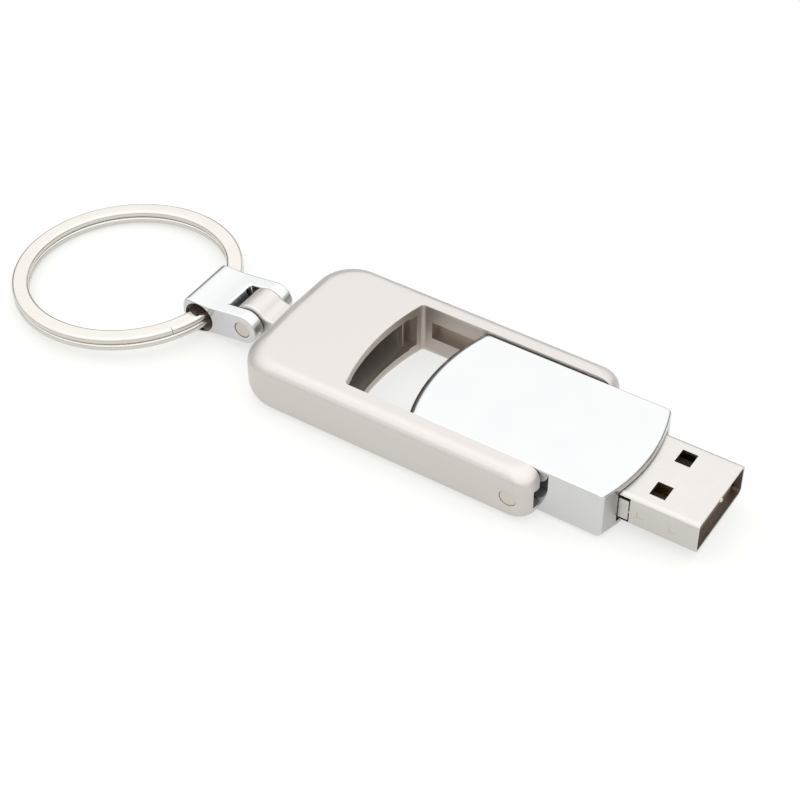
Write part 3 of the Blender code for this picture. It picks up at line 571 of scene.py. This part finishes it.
def ring_nickel():
    """Spring steel wire, tumbled and bright nickel plated: soft streaks, slightly warm."""
    material = blank("tumbled_bright_nickel")
    where = add(material, "ShaderNodeTexCoord").outputs["Object"]
    upright = add(material, "ShaderNodeMapping", {"Vector": where, "Scale": (1.0, 1.0, 0.3)})
    streak = add(material, "ShaderNodeTexNoise", {"Vector": upright.outputs["Vector"],
                                                  "Scale": 1.0 / (0.35 * MM), "Detail": 3.0})
    drift = add(material, "ShaderNodeTexNoise", {"Vector": where, "Scale": 1.0 / (4.0 * MM),
                                                 "Detail": 3.0}).outputs["Fac"]
    colour = add(material, "ShaderNodeMix", {0: drift, 6: linear("#CAC5BF"), 7: linear("#D1CEC9")},
                 data_type="RGBA").outputs[2]
    gloss = add(material, "ShaderNodeMapRange", {"Value": streak.outputs["Fac"], "From Min": 0.3,
                                                 "From Max": 0.7, "To Min": 0.10, "To Max": 0.17})
    relief = add(material, "ShaderNodeBump", {"Height": drift, "Distance": 0.004 * MM,
                                              "Strength": 0.5}).outputs["Normal"]
    shader = add(material, "ShaderNodeBsdfPrincipled", {"Base Color": colour, "Metallic": 1.0,
                                                        "Roughness": gloss.outputs["Result"],
                                                        "Normal": relief})
    add(material, "ShaderNodeOutputMaterial", {"Surface": shader.outputs["BSDF"]})
    return material


def solder_mask():
    """Fibreglass board under green solder mask: the weave shows faintly through the lacquer."""
    material = blank("green_solder_mask")
    where = add(material, "ShaderNodeTexCoord").outputs["Object"]
    weave = add(material, "ShaderNodeTexChecker", {"Vector": where,
                                                   "Scale": 1.0 / (0.5 * MM)}).outputs["Fac"]
    colour = add(material, "ShaderNodeMix", {0: weave, 6: linear("#0F4527"), 7: linear("#14512F")},
                 data_type="RGBA").outputs[2]
    relief = add(material, "ShaderNodeBump", {"Height": weave, "Distance": 0.003 * MM,
                                              "Strength": 0.4}).outputs["Normal"]
    shader = add(material, "ShaderNodeBsdfPrincipled", {"Base Color": colour, "Roughness": 0.3,
                                                        "Metallic": 0.0, "Normal": relief})
    add(material, "ShaderNodeOutputMaterial", {"Surface": shader.outputs["BSDF"]})
    return material


def grained(name, size, stretch, dark, light, smooth, dull, metallic, depth, strength=1.0):
    """A finish whose colour, gloss and relief all follow one fine grain of the given size."""
    material = blank(name)
    where = add(material, "ShaderNodeTexCoord").outputs["Object"]
    laid = add(material, "ShaderNodeMapping", {"Vector": where, "Scale": stretch})
    grain = add(material, "ShaderNodeTexNoise", {"Vector": laid.outputs["Vector"],
                                                 "Scale": 1.0 / size, "Detail": 3.0}).outputs["Fac"]
    colour = add(material, "ShaderNodeMix", {0: grain, 6: linear(dark), 7: linear(light)},
                 data_type="RGBA").outputs[2]
    gloss = add(material, "ShaderNodeMapRange", {"Value": grain, "From Min": 0.3, "From Max": 0.7,
                                                 "To Min": smooth, "To Max": dull}).outputs["Result"]
    relief = add(material, "ShaderNodeBump", {"Height": grain, "Distance": depth,
                                              "Strength": strength}).outputs["Normal"]
    shader = add(material, "ShaderNodeBsdfPrincipled", {"Base Color": colour, "Roughness": gloss,
                                                        "Metallic": metallic, "Normal": relief})
    add(material, "ShaderNodeOutputMaterial", {"Surface": shader.outputs["BSDF"]})
    return material


SATIN = satin_nickel()
CHROME = chrome_plate()
NICKEL = ring_nickel()
TIN = tinned_shell()
BOARD = solder_mask()
EVEN = (1.0, 1.0, 1.0)
# Pin ends ground flat: dull, warm grey with a fine turned grain.
PIN = grained("ground_pin_steel", 0.15 * MM, EVEN, "#C5BFB6", "#CBC5BD", 0.38, 0.48, 1.0,
              0.004 * MM, 0.6)
# Glass-filled black thermoplastic, moulded: dull, very finely pitted.
BLACK = grained("moulded_black_thermoplastic", 0.1 * MM, EVEN, "#564A41", "#63574E", 0.45, 0.6, 0.0,
                0.006 * MM)
# Phosphor bronze strip, gold flashed: a warm gloss with drawing lines along it.
GOLD = grained("gold_flashed_bronze", 0.08 * MM, (0.05, 1.0, 1.0), "#D9B15C", "#E7C676", 0.18, 0.3,
               1.0, 0.002 * MM, 0.5)
# Turned brass: yellow with fine tool lines.
BRASS = grained("machined_brass", 0.12 * MM, (1.0, 0.15, 1.0), "#B08D4A", "#CBAA66", 0.22, 0.34,
                1.0, 0.004 * MM)
# Chip package: black epoxy with a fine matt texture.
EPOXY = grained("moulded_epoxy_package", 0.09 * MM, EVEN, "#1C1C1E", "#27272A", 0.5, 0.65, 0.0,
                0.005 * MM)
# Ceramic capacitor body: tan, slightly mottled.
CERAMIC = grained("fired_ceramic", 0.2 * MM, EVEN, "#8A6A4A", "#A38463", 0.4, 0.55, 0.0,
                  0.004 * MM)


def wear(piece, material):
    piece.data.materials.clear()
    piece.data.materials.append(material)


def stand_for(piece, body, slot, material, *nodes):
    """Give a finished piece its finish and let it ride and stand for its nodes."""
    wear(piece, material)
    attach(piece, body)
    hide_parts(*nodes)
    return piece


# ------------------------------------------------------------ frame
def knuckle():
    """Barrel that carries the shackle, swept into a web that runs into the casting."""
    half = KNUCKLE_WEB / 2
    lean = math.asin((half + KNUCKLE_FILLET) / (KNUCKLE_RADIUS + KNUCKLE_FILLET))
    start = (KNUCKLE_RADIUS * math.cos(lean), KNUCKLE_RADIUS * math.sin(lean))
    length = TAIL_X + TAIL_EDGE - SHACKLE_PIN.x - (KNUCKLE_RADIUS + KNUCKLE_FILLET) * math.cos(lean)
    lean = math.degrees(lean)
    sweep = ("turn", KNUCKLE_FILLET, lean - 90.0)
    moves = [("turn", KNUCKLE_RADIUS, 360.0 - 2 * lean), sweep, ("go", length), ("turn", 0.0, 90.0),
             ("go", 2 * half), ("turn", 0.0, 90.0), ("go", length), sweep]
    barrel = draw_outline("knuckle", start, 90.0 + lean, moves, -KNUCKLE_HALF, KNUCKLE_HALF)
    soften(barrel, KNUCKLE_EDGE, 4, 50.0)
    return place(barrel, Matrix.Translation(SHACKLE_PIN) @ Matrix.Rotation(math.pi / 2, 4, "X"))


def crown(piece, sign, outer, inset, rise):
    """Dome the flat end of a pin a little."""
    open_mesh(piece, "FACE")
    pick(piece, "faces", lambda f: f.normal.y * sign > 0.9
         and abs(f.calc_center_median().y - outer) < TOUCH)
    for share in (0.5, 0.8):
        bpy.ops.mesh.inset(thickness=inset / 2, depth=0.0)
        bpy.ops.transform.translate(value=(0.0, sign * rise * share / 1.3, 0.0))
    close_mesh()


def window_tool():
    """The window's outline, flared where it leaves between the arms so that their tips are rounded."""
    bow, short = end_moves(WINDOW_HALF, WINDOW_CORNER, WINDOW_BULGE)
    flare = 75.0
    sine, cosine = math.sin(math.radians(flare)), math.cos(math.radians(flare))
    turn_x = ARM_END_X - ARM_INNER_CORNER
    out = 2 * PAST
    start = (turn_x + ARM_INNER_CORNER * sine + out * cosine,
             WINDOW_HALF + ARM_INNER_CORNER * (1 - cosine) + out * sine)
    side = ("go", turn_x - WINDOW_X - short)
    lip = ("turn", ARM_INNER_CORNER, -flare)
    moves = [("go", out), lip, side] + bow + [side, lip, ("go", out), ("turn", 0.0, 90.0 + flare),
                                              ("go", 2 * start[1])]
    return draw_outline("window", start, 180.0 + flare, moves, -PAST, CASTING_HIGH.z + PAST, 3.0)


def casting():
    body = rounded_slab("casting", TAIL_X + TAIL_BULGE, ARM_END_X, CASTING_HALF,
                        (TAIL_CORNER, TAIL_BULGE), (ARM_END_CORNER, 0.0), HALF_THICK,
                        (SIDE_EDGE, TAIL_EDGE, ARM_END_EDGE))
    lift(body)
    cut(body, window_tool())
    peak = WINDOW_X - WINDOW_BULGE
    tip = ARM_END_X - ARM_END_EDGE

    def on_rim(v):
        flat = min(abs(v.co.z - CASTING_LOW.z), abs(v.co.z - CASTING_HIGH.z)) < TOUCH
        inside = v.co.x > peak - TOUCH and abs(v.co.y) < WINDOW_HALF + TOUCH
        on_wall = v.co.x > tip - 0.5 * MM and abs(v.co.y) < WINDOW_HALF + ARM_INNER_CORNER
        return (flat and inside) or on_wall

    open_mesh(body, "EDGE")
    pick(body, "edges", lambda e: all(on_rim(v) for v in e.verts) and e.calc_face_angle(0.0) > SHARP)
    bpy.ops.mesh.bevel(offset=WINDOW_EDGE, segments=3, affect="EDGES", clamp_overlap=True)
    close_mesh()

    cavity_x = WINDOW_X - CAVITY_DEPTH
    cut(body, cuboid("cavity", (cavity_x, -CAVITY_HALF, MID_Z - CAVITY_HALF_HEIGHT),
                     (WINDOW_X + PAST, CAVITY_HALF, MID_Z + CAVITY_HALF_HEIGHT)))
    step = CAVITY_HALF + STEP_WIDTH
    step_height = CAVITY_HALF_HEIGHT - STEP_DROP
    cut(body, cuboid("step", (peak - STEP_DEPTH, -step, MID_Z - step_height),
                     (WINDOW_X + PAST, step, MID_Z + step_height)))
    for side in (-1, 1):
        foot, head = side * (CAVITY_HALF + RIB_ROOT), side * (CAVITY_HALF + RIB_WIDTH)
        rise = step_height + LAP
        rib = cuboid("rib", (peak - STEP_DEPTH - LAP, min(foot, head), MID_Z - rise),
                     (peak - STEP_DEPTH + RIB_DEPTH, max(foot, head), MID_Z + rise))
        combine(body, rib, "UNION")
    stop = ((STOP_LOW.x + STOP_HIGH.x) / 2, MID_Z)
    for side in (-1, 1):
        wall, floor = side * (WINDOW_HALF - PAST), side * (WINDOW_HALF + GROOVE_DEPTH)
        cut(body, cuboid("groove", (WINDOW_X + GROOVE_START, min(wall, floor), MID_Z - GROOVE_HALF_HEIGHT),
                         (ARM_END_X + PAST, max(wall, floor), MID_Z + GROOVE_HALF_HEIGHT)))
        cut(body, rod("stop_hole", stop, (STOP_HIGH.x - STOP_LOW.x) / 2 + PIN_HOLE_GAP,
                      side * (WINDOW_HALF + GROOVE_DEPTH - PAST / 2), side * (CASTING_HALF + PAST)))
    combine(body, knuckle(), "UNION")
    pin_radius = (SHACKLE_PIN_HIGH.x - SHACKLE_PIN_LOW.x) / 2
    cut(body, rod("knuckle_bore", (SHACKLE_PIN.x, SHACKLE_PIN.z), pin_radius + PIN_HOLE_GAP,
                  -KNUCKLE_HALF - PAST, KNUCKLE_HALF + PAST))
    polish_normals(body)
    stand_for(body, "frame", "satin_nickel", SATIN, "frame_casting")


def stop_pins():
    for side, name in ((-1, "near"), (1, "far")):
        low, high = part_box("stop_pin_" + name)
        centre = ((low.x + high.x) / 2, (low.z + high.z) / 2)
        radius = (high.x - low.x) / 2
        outer = side * max(abs(low.y), abs(high.y))
        inner = side * min(abs(low.y), abs(high.y))
        neck = side * (WINDOW_HALF + GROOVE_DEPTH + STOP_NECK_GAP)
        pin = rod("stop_pin_head_" + name, centre, radius, neck, outer, 72)
        shank = rod("shank", centre, STOP_SHANK_RADIUS, inner, neck + side * LAP, 48)
        combine(pin, shank, "UNION")
        crown(pin, side, outer, radius / 2, PIN_CROWN)
        soften(pin, STOP_EDGE, 3, 50.0)
        polish_normals(pin)
        stand_for(pin, "frame", "satin_nickel_pin", PIN, "stop_pin_" + name)


# ------------------------------------------------------------ drive
def housing():
    half_thick = (HOUSING_HIGH.z - HOUSING_LOW.z) / 2
    end = (HOUSING_CORNER, HOUSING_BULGE)
    body = rounded_slab("chromed_housing", HOUSING_X0, HOUSING_X1, HOUSING_HALF, end, end,
                        half_thick, (HOUSING_SIDE_EDGE, HOUSING_REAR_EDGE, HOUSING_FRONT_EDGE), 8, 3.0)
    lift(body)
    room = half_thick - ROOM_WALL
    cut(body, cuboid("room", (HOUSING_X0 + ROOM_SETBACK, -ROOM_HALF, MID_Z - room),
                     (HOUSING_X1 - ROOM_SETBACK, ROOM_HALF, MID_Z + room)))
    mouth_half = SHELL_HIGH.y + MOUTH_GAP
    mouth_rise = (SHELL_HIGH.z - SHELL_LOW.z) / 2 + MOUTH_GAP
    cut(body, cuboid("mouth", (SHELL_LOW.x - MOUTH_BEHIND, -mouth_half, MID_Z - mouth_rise),
                     (HOUSING_HIGH.x + PAST, mouth_half, MID_Z + mouth_rise)))
    cut(body, rod("stud_holes", (PIVOT.x, PIVOT.z), STUD_HOLE_RADIUS, -HOUSING_HALF - PAST,
                  HOUSING_HALF + PAST, 40))
    polish_normals(body)
    stand_for(body, "drive", "chrome", CHROME, "drive_housing")


def plug_shell():
    shell = cuboid("plug_shell", SHELL_LOW, SHELL_HIGH)
    open_mesh(shell, "EDGE")
    pick(shell, "edges", lambda e: abs(e.verts[0].co.x - e.verts[1].co.x) > PAST)
    bpy.ops.mesh.bevel(offset=SHELL_CORNER, segments=6, affect="EDGES")
    bpy.ops.mesh.select_mode(type="FACE")
    bpy.ops.mesh.select_all(action="DESELECT")
    pick(shell, "faces", lambda f: abs(f.normal.x) > 0.9)
    bpy.ops.mesh.delete(type="FACE")
    close_mesh()
    modify(shell, "SOLIDIFY", thickness=SHELL_WALL, offset=-1.0, use_even_offset=True)
    hole_x = SHELL_HIGH.x - LATCH_SETBACK
    for side in (-1, 1):
        centre = Vector((hole_x - LATCH_HOLE.x / 2, side * LATCH_OFFSET, MID_Z))
        reach = LATCH_HOLE / 2 + Vector((0, 0, 4 * MM))
        cut(shell, cuboid("latch_hole", centre - reach, centre + reach))
    leg_x = SHELL_HIGH.x - LEG_SETBACK
    behind = SHELL_LOW.x - PAST
    for bottom, top in LEG_SLITS:
        cut(shell, cuboid("leg_slit", (behind, SHELL_LOW.y - PAST, MID_Z + bottom),
                          (leg_x, SHELL_HIGH.y + PAST, MID_Z + top)))
    for bottom, top in ((LEG_SLITS[0][0], LEG_BRIDGE[0]), (LEG_BRIDGE[1], LEG_SLITS[1][1])):
        cut(shell, cuboid("leg_gap", (leg_x - LEG_GAP, SHELL_LOW.y - PAST, MID_Z + bottom),
                          (leg_x, SHELL_HIGH.y + PAST, MID_Z + top)))
    for side in (-1, 1):
        face = side * SHELL_HIGH.y
        wall = face - side * LEG_RECESS
        cut(shell, cuboid("leg_recess", (behind, min(wall, face + side * PAST), MID_Z + LEG_SLITS[0][0]),
                          (leg_x, max(wall, face + side * PAST), MID_Z + LEG_SLITS[1][1])))
        wall = face - side * DENT_DEPTH
        for dent_x in DENT_SETBACKS:
            x = SHELL_HIGH.x - dent_x
            low_y, high_y = min(wall, face + side * PAST), max(wall, face + side * PAST)
            cut(shell, cuboid("dent", (x - DENT_SIZE / 2, low_y, MID_Z - DENT_SIZE / 2),
                              (x + DENT_SIZE / 2, high_y, MID_Z + DENT_SIZE / 2)))
    soften(shell, SHELL_EDGE, 2, 50.0)
    deselect()
    bpy.ops.mesh.primitive_uv_sphere_add(segments=24, ring_count=12, radius=BEAD_RADIUS,
                                         location=(SHELL_HIGH.x - BEAD_RADIUS * BEAD_SETBACK, BEAD_OFFSET,
                                                   SHELL_HIGH.z - SHELL_WALL - BEAD_DROP))
    combine(shell, placed("bead", (1.0, 1.0, BEAD_SQUASH)), "UNION")
    polish_normals(shell)
    stand_for(shell, "drive", "stainless_shell", TIN, "usb_shell")


# ------------------------------------------------------------ shackle
def shackle():
    """Drawn with its pin at the origin and its bore along +X, then turned to hang."""
    to_bore = RING_BORE - SHACKLE_PIN
    reach = to_bore.length
    bow, corner, swell, fall = 24.0, 60.0, 19.0, 13.0      # degrees each part turns through
    turned = math.radians(bow), math.radians(bow + corner), math.radians(bow + corner + swell)
    radii = (SHACKLE_END_BOW, SHACKLE_END_CORNER, SHACKLE_CROWN)
    top, back = 0.0, 0.0
    for radius, start, stop in zip(radii, (0.0,) + turned, turned):
        top += radius * (math.sin(stop) - math.sin(start))
        back += radius * (math.cos(start) - math.cos(stop))
    hollow = (top - SHACKLE_EAR) / (1 - math.cos(math.radians(fall)))
    length = reach + SHACKLE_END - back - hollow * math.sin(math.radians(fall))
    rise = [("turn", SHACKLE_END_BOW, bow), ("turn", SHACKLE_END_CORNER, corner),
            ("turn", SHACKLE_CROWN, swell), ("turn", hollow, -fall), ("go", length)]
    moves = rise + [("turn", SHACKLE_EAR, 180.0)] + rise[::-1]
    half = SHACKLE_HIGH.y
    body = draw_outline("shackle_body", (reach + SHACKLE_END, 0.0), 90.0, moves, -half, half, 6.0)
    cut(body, cuboid("fork", (-SHACKLE_EAR - PAST, -top - PAST, -SHACKLE_SLOT_HALF),
                     (SHACKLE_SLOT_FLOOR, top + PAST, SHACKLE_SLOT_HALF)))
    soften(body, SHACKLE_EDGE, 4, 40.0)
    along = to_bore.normalized()
    across = Vector((0.0, 1.0, 0.0))
    up = across.cross(along)
    turn = Matrix((along, up, across)).transposed().to_4x4()
    place(body, Matrix.Translation(SHACKLE_PIN) @ turn)
    bore = (RING_BORE.x, RING_BORE.z)
    cut(body, rod("bore", bore, BORE_RADIUS, -half - PAST, half + PAST, 72))
    wide = BORE_RADIUS + BORE_FLARE * (1 + FLARE_PAST / BORE_FLARE_DEPTH)
    flare_y = half + (FLARE_PAST - BORE_FLARE_DEPTH) / 2
    for side in (-1, 1):
        deselect()
        bpy.ops.mesh.primitive_cone_add(vertices=72, radius1=wide, radius2=BORE_RADIUS * 0.999,
                                        depth=BORE_FLARE_DEPTH + FLARE_PAST,
                                        location=(bore[0], side * flare_y, bore[1]),
                                        rotation=(side * math.pi / 2, 0.0, 0.0))
        cut(body, placed("flare"))
    pin_radius = (SHACKLE_PIN_HIGH.x - SHACKLE_PIN_LOW.x) / 2
    cut(body, rod("pin_hole", (SHACKLE_PIN.x, SHACKLE_PIN.z), pin_radius + SHACKLE_PIN_GAP,
                  -half - PAST, half + PAST))
    polish_normals(body)
    stand_for(body, "shackle", "chrome", CHROME, "shackle")

    pin = rod("shackle_pin_peened", (SHACKLE_PIN.x, SHACKLE_PIN.z), pin_radius,
              SHACKLE_PIN_LOW.y, SHACKLE_PIN_HIGH.y, 72)
    for side, outer in ((-1, SHACKLE_PIN_LOW.y), (1, SHACKLE_PIN_HIGH.y)):
        crown(pin, side, outer, pin_radius / 2, PIN_CROWN)
    soften(pin, SHACKLE_PIN_EDGE, 3, 50.0)
    polish_normals(pin)
    stand_for(pin, "shackle", "satin_nickel_pin", PIN, "shackle_pin")


# ------------------------------------------------------------ key ring
def split_ring():
    """One flat wire wound twice: lower coil, a short climb inside the bore, then the upper coil."""
    middle = RING_RADIUS - WIRE_WIDTH / 2
    low = -(WIRE_HEIGHT + COIL_GAP) / 2
    deselect()
    bpy.ops.mesh.primitive_plane_add(size=1.0, rotation=(math.pi / 2, 0.0, 0.0),
                                     location=(middle, 0.0, low))
    ring = placed("split_ring", (WIRE_WIDTH, WIRE_HEIGHT, 1.0))
    open_mesh(ring, "VERT")
    bpy.ops.mesh.select_all(action="SELECT")
    bpy.ops.mesh.bevel(offset=WIRE_EDGE, segments=4, affect="VERTICES")
    bpy.ops.mesh.select_all(action="SELECT")
    centre = {"center": (0.0, 0.0, 0.0), "axis": (0.0, 0.0, 1.0)}
    coil_steps = 112
    ramp_steps = 6
    bpy.ops.mesh.spin(steps=coil_steps, angle=-math.radians(COIL_ARC), **centre)
    climbed = 0.0
    for k in range(1, ramp_steps + 1):
        share = k / ramp_steps
        climb = -2 * low * share * share * (3 - 2 * share)
        bpy.ops.mesh.spin(steps=1, angle=-math.radians(COIL_RAMP / ramp_steps), **centre)
        bpy.ops.transform.translate(value=(0.0, 0.0, climb - climbed))
        climbed = climb
    bpy.ops.mesh.spin(steps=coil_steps, angle=-math.radians(COIL_ARC), **centre)
    close_mesh()
    face_out(ring)
    nick = cuboid("nick", (RING_RADIUS - NICK_DEPTH, -NICK_WIDTH / 2, NICK_FOOT),
                  (RING_RADIUS + PAST, NICK_WIDTH / 2, PAST))
    cut(ring, place(nick, Matrix.Rotation(math.radians(NICK_AT - COIL_START), 4, "Z")))
    tilt = (Matrix.Rotation(math.radians(-RING_PITCH), 4, "Y")
            @ Matrix.Rotation(math.radians(RING_ROLL), 4, "X"))
    hung = Matrix.Translation((RING_LOW + RING_HIGH) / 2) @ tilt
    place(ring, hung @ Matrix.Rotation(math.radians(COIL_START), 4, "Z"))
    polish_normals(ring, 50.0)
    stand_for(ring, "key_ring", "bright_nickel", NICKEL, "key_ring")


# ------------------------------------------------------------ pieces kept from the model
def kept_pieces():
    nodes = frame["nodes"]
    finishes = {"usb_tongue": BLACK, "board_tray": BLACK, "circuit_board": BOARD,
                "flash_chip": EPOXY, "controller_chip": EPOXY, "crystal": TIN}
    for k in range(1, 5):
        finishes["usb_contact_%d" % k] = GOLD
    for k in range(1, 4):
        finishes["capacitor_%d" % k] = CERAMIC
    for side in ("near", "far"):
        finishes["slide_block_" + side] = BRASS
        finishes["pivot_stud_" + side] = NICKEL
    for name, material in finishes.items():
        wear(nodes[name], material)


casting()
stop_pins()
housing()
plug_shell()
shackle()
split_ring()
kept_pieces()

# ------------------------------------------------------------ table, light and camera
FLOOR_SIZE = 3.0
FLOOR_DROP = 0.02 * MM
FLOOR_GLOW = 0.60
TENT_LEVELS = ((0.0, 0.46), (0.12, 0.68), (0.32, 1.28), (0.56, 1.55), (1.0, 1.76))
GAPS = (((-0.76, 0.65, 0.0), ((0.0, 0.88), (0.12, 0.80), (0.32, 0.62), (0.44, 0.0))),
        ((0.80, 0.60, 0.0), ((0.0, 0.85), (0.12, 0.80), (0.24, 0.60), (0.34, 0.0))))
VIEW_AZIMUTH = 32.956
VIEW_ELEVATION = 42.728
VIEW_ROLL = -0.202
VIEW_DISTANCE = 222.83 * MM
VIEW_SHIFT = (-36.67 * MM, 12.36 * MM)
LENS = 87.44


def backlit_acrylic():
    """White acrylic sheet lit from behind: matt and nearly even, with a trace of texture."""
    material = blank("backlit_white_acrylic")
    where = add(material, "ShaderNodeTexCoord").outputs["Object"]
    fibre = add(material, "ShaderNodeTexNoise", {"Vector": where, "Scale": 1.0 / (0.4 * MM),
                                                 "Detail": 3.0}).outputs["Fac"]
    colour = add(material, "ShaderNodeMix", {0: fibre, 6: linear("#94948F"), 7: linear("#979793")},
                 data_type="RGBA").outputs[2]
    relief = add(material, "ShaderNodeBump", {"Height": fibre, "Distance": 0.002 * MM,
                                              "Strength": 0.2}).outputs["Normal"]
    shader = add(material, "ShaderNodeBsdfPrincipled", {"Base Color": colour, "Roughness": 0.9,
                                                        "Metallic": 0.0, "Normal": relief,
                                                        "Emission Color": (1.0, 1.0, 1.0, 1.0),
                                                        "Emission Strength": FLOOR_GLOW})
    add(material, "ShaderNodeOutputMaterial", {"Surface": shader.outputs["BSDF"]})
    return material


def table_top():
    deselect()
    bpy.ops.mesh.primitive_plane_add(size=FLOOR_SIZE, location=(0.0, 0.0, CAD_BOX[0].z - FLOOR_DROP))
    floor = placed("table_top")
    wear(floor, backlit_acrylic())


def brightness(world, height, levels):
    """Light levels joined up smoothly from the horizon at 0 to overhead at 1, as (height, level) pairs."""
    ramp = add(world, "ShaderNodeValToRGB", {"Fac": height})
    ramp.color_ramp.interpolation = "EASE"
    elements = ramp.color_ramp.elements
    most = max(level for _, level in levels)
    for k, (where, level) in enumerate(levels):
        element = elements[k] if k < 2 else elements.new(where)
        element.position = where
        element.color = (level / most, level / most, level / most, 1.0)
    return add(world, "ShaderNodeMath", {0: ramp.outputs["Color"], 1: most},
               operation="MULTIPLY").outputs[0]


def surroundings():
    """White tent that brightens upwards, with a dark gap low in each of its far corners."""
    world = bpy.data.worlds.new("studio_tent")
    bpy.context.scene.world = world
    world.use_nodes = True
    world.node_tree.nodes.clear()
    direction = add(world, "ShaderNodeTexCoord").outputs["Generated"]
    height = add(world, "ShaderNodeSeparateXYZ", {"Vector": direction}).outputs["Z"]
    tent = brightness(world, height, TENT_LEVELS)
    level = tent
    for gap_towards, gap_levels in GAPS:
        towards = add(world, "ShaderNodeVectorMath", {0: direction, 1: gap_towards},
                      operation="DOT_PRODUCT")
        beside = add(world, "ShaderNodeMapRange", {"Value": towards.outputs["Value"], "From Min": 0.72,
                                                   "From Max": 0.90}).outputs["Result"]
        gap = add(world, "ShaderNodeMath", {0: brightness(world, height, gap_levels), 1: beside},
                  operation="MULTIPLY").outputs[0]
        kept = add(world, "ShaderNodeMath", {0: 1.0, 1: gap}, operation="SUBTRACT").outputs[0]
        level = add(world, "ShaderNodeMath", {0: level, 1: kept}, operation="MULTIPLY").outputs[0]
    light = add(world, "ShaderNodeBackground", {"Color": (1.0, 1.0, 1.0, 1.0), "Strength": level})
    add(world, "ShaderNodeOutputWorld", {"Surface": light.outputs["Background"]})


def camera():
    azimuth, elevation, roll = (math.radians(a) for a in (VIEW_AZIMUTH, VIEW_ELEVATION, VIEW_ROLL))
    back = Vector((math.sin(azimuth) * math.cos(elevation), -math.cos(azimuth) * math.cos(elevation),
                   math.sin(elevation)))
    level = Vector((math.cos(azimuth), math.sin(azimuth), 0.0))
    upright = back.cross(level)
    right = level * math.cos(roll) + upright * math.sin(roll)
    up = upright * math.cos(roll) - level * math.sin(roll)
    plug_face = Vector((SHELL_HIGH.x, 0.0, MID_Z))
    lens = bpy.data.cameras.new("camera")
    lens.lens = LENS
    lens.sensor_width = 36.0
    lens.clip_start = 0.01
    holder = bpy.data.objects.new("camera", lens)
    bpy.context.collection.objects.link(holder)
    turn = Matrix((right, up, back)).transposed().to_4x4()
    at = plug_face + right * VIEW_SHIFT[0] + up * VIEW_SHIFT[1] + back * VIEW_DISTANCE
    holder.matrix_world = Matrix.Translation(at) @ turn
    bpy.context.scene.camera = holder


table_top()
surroundings()
camera()
bpy.context.scene.view_settings.view_transform = "Standard"
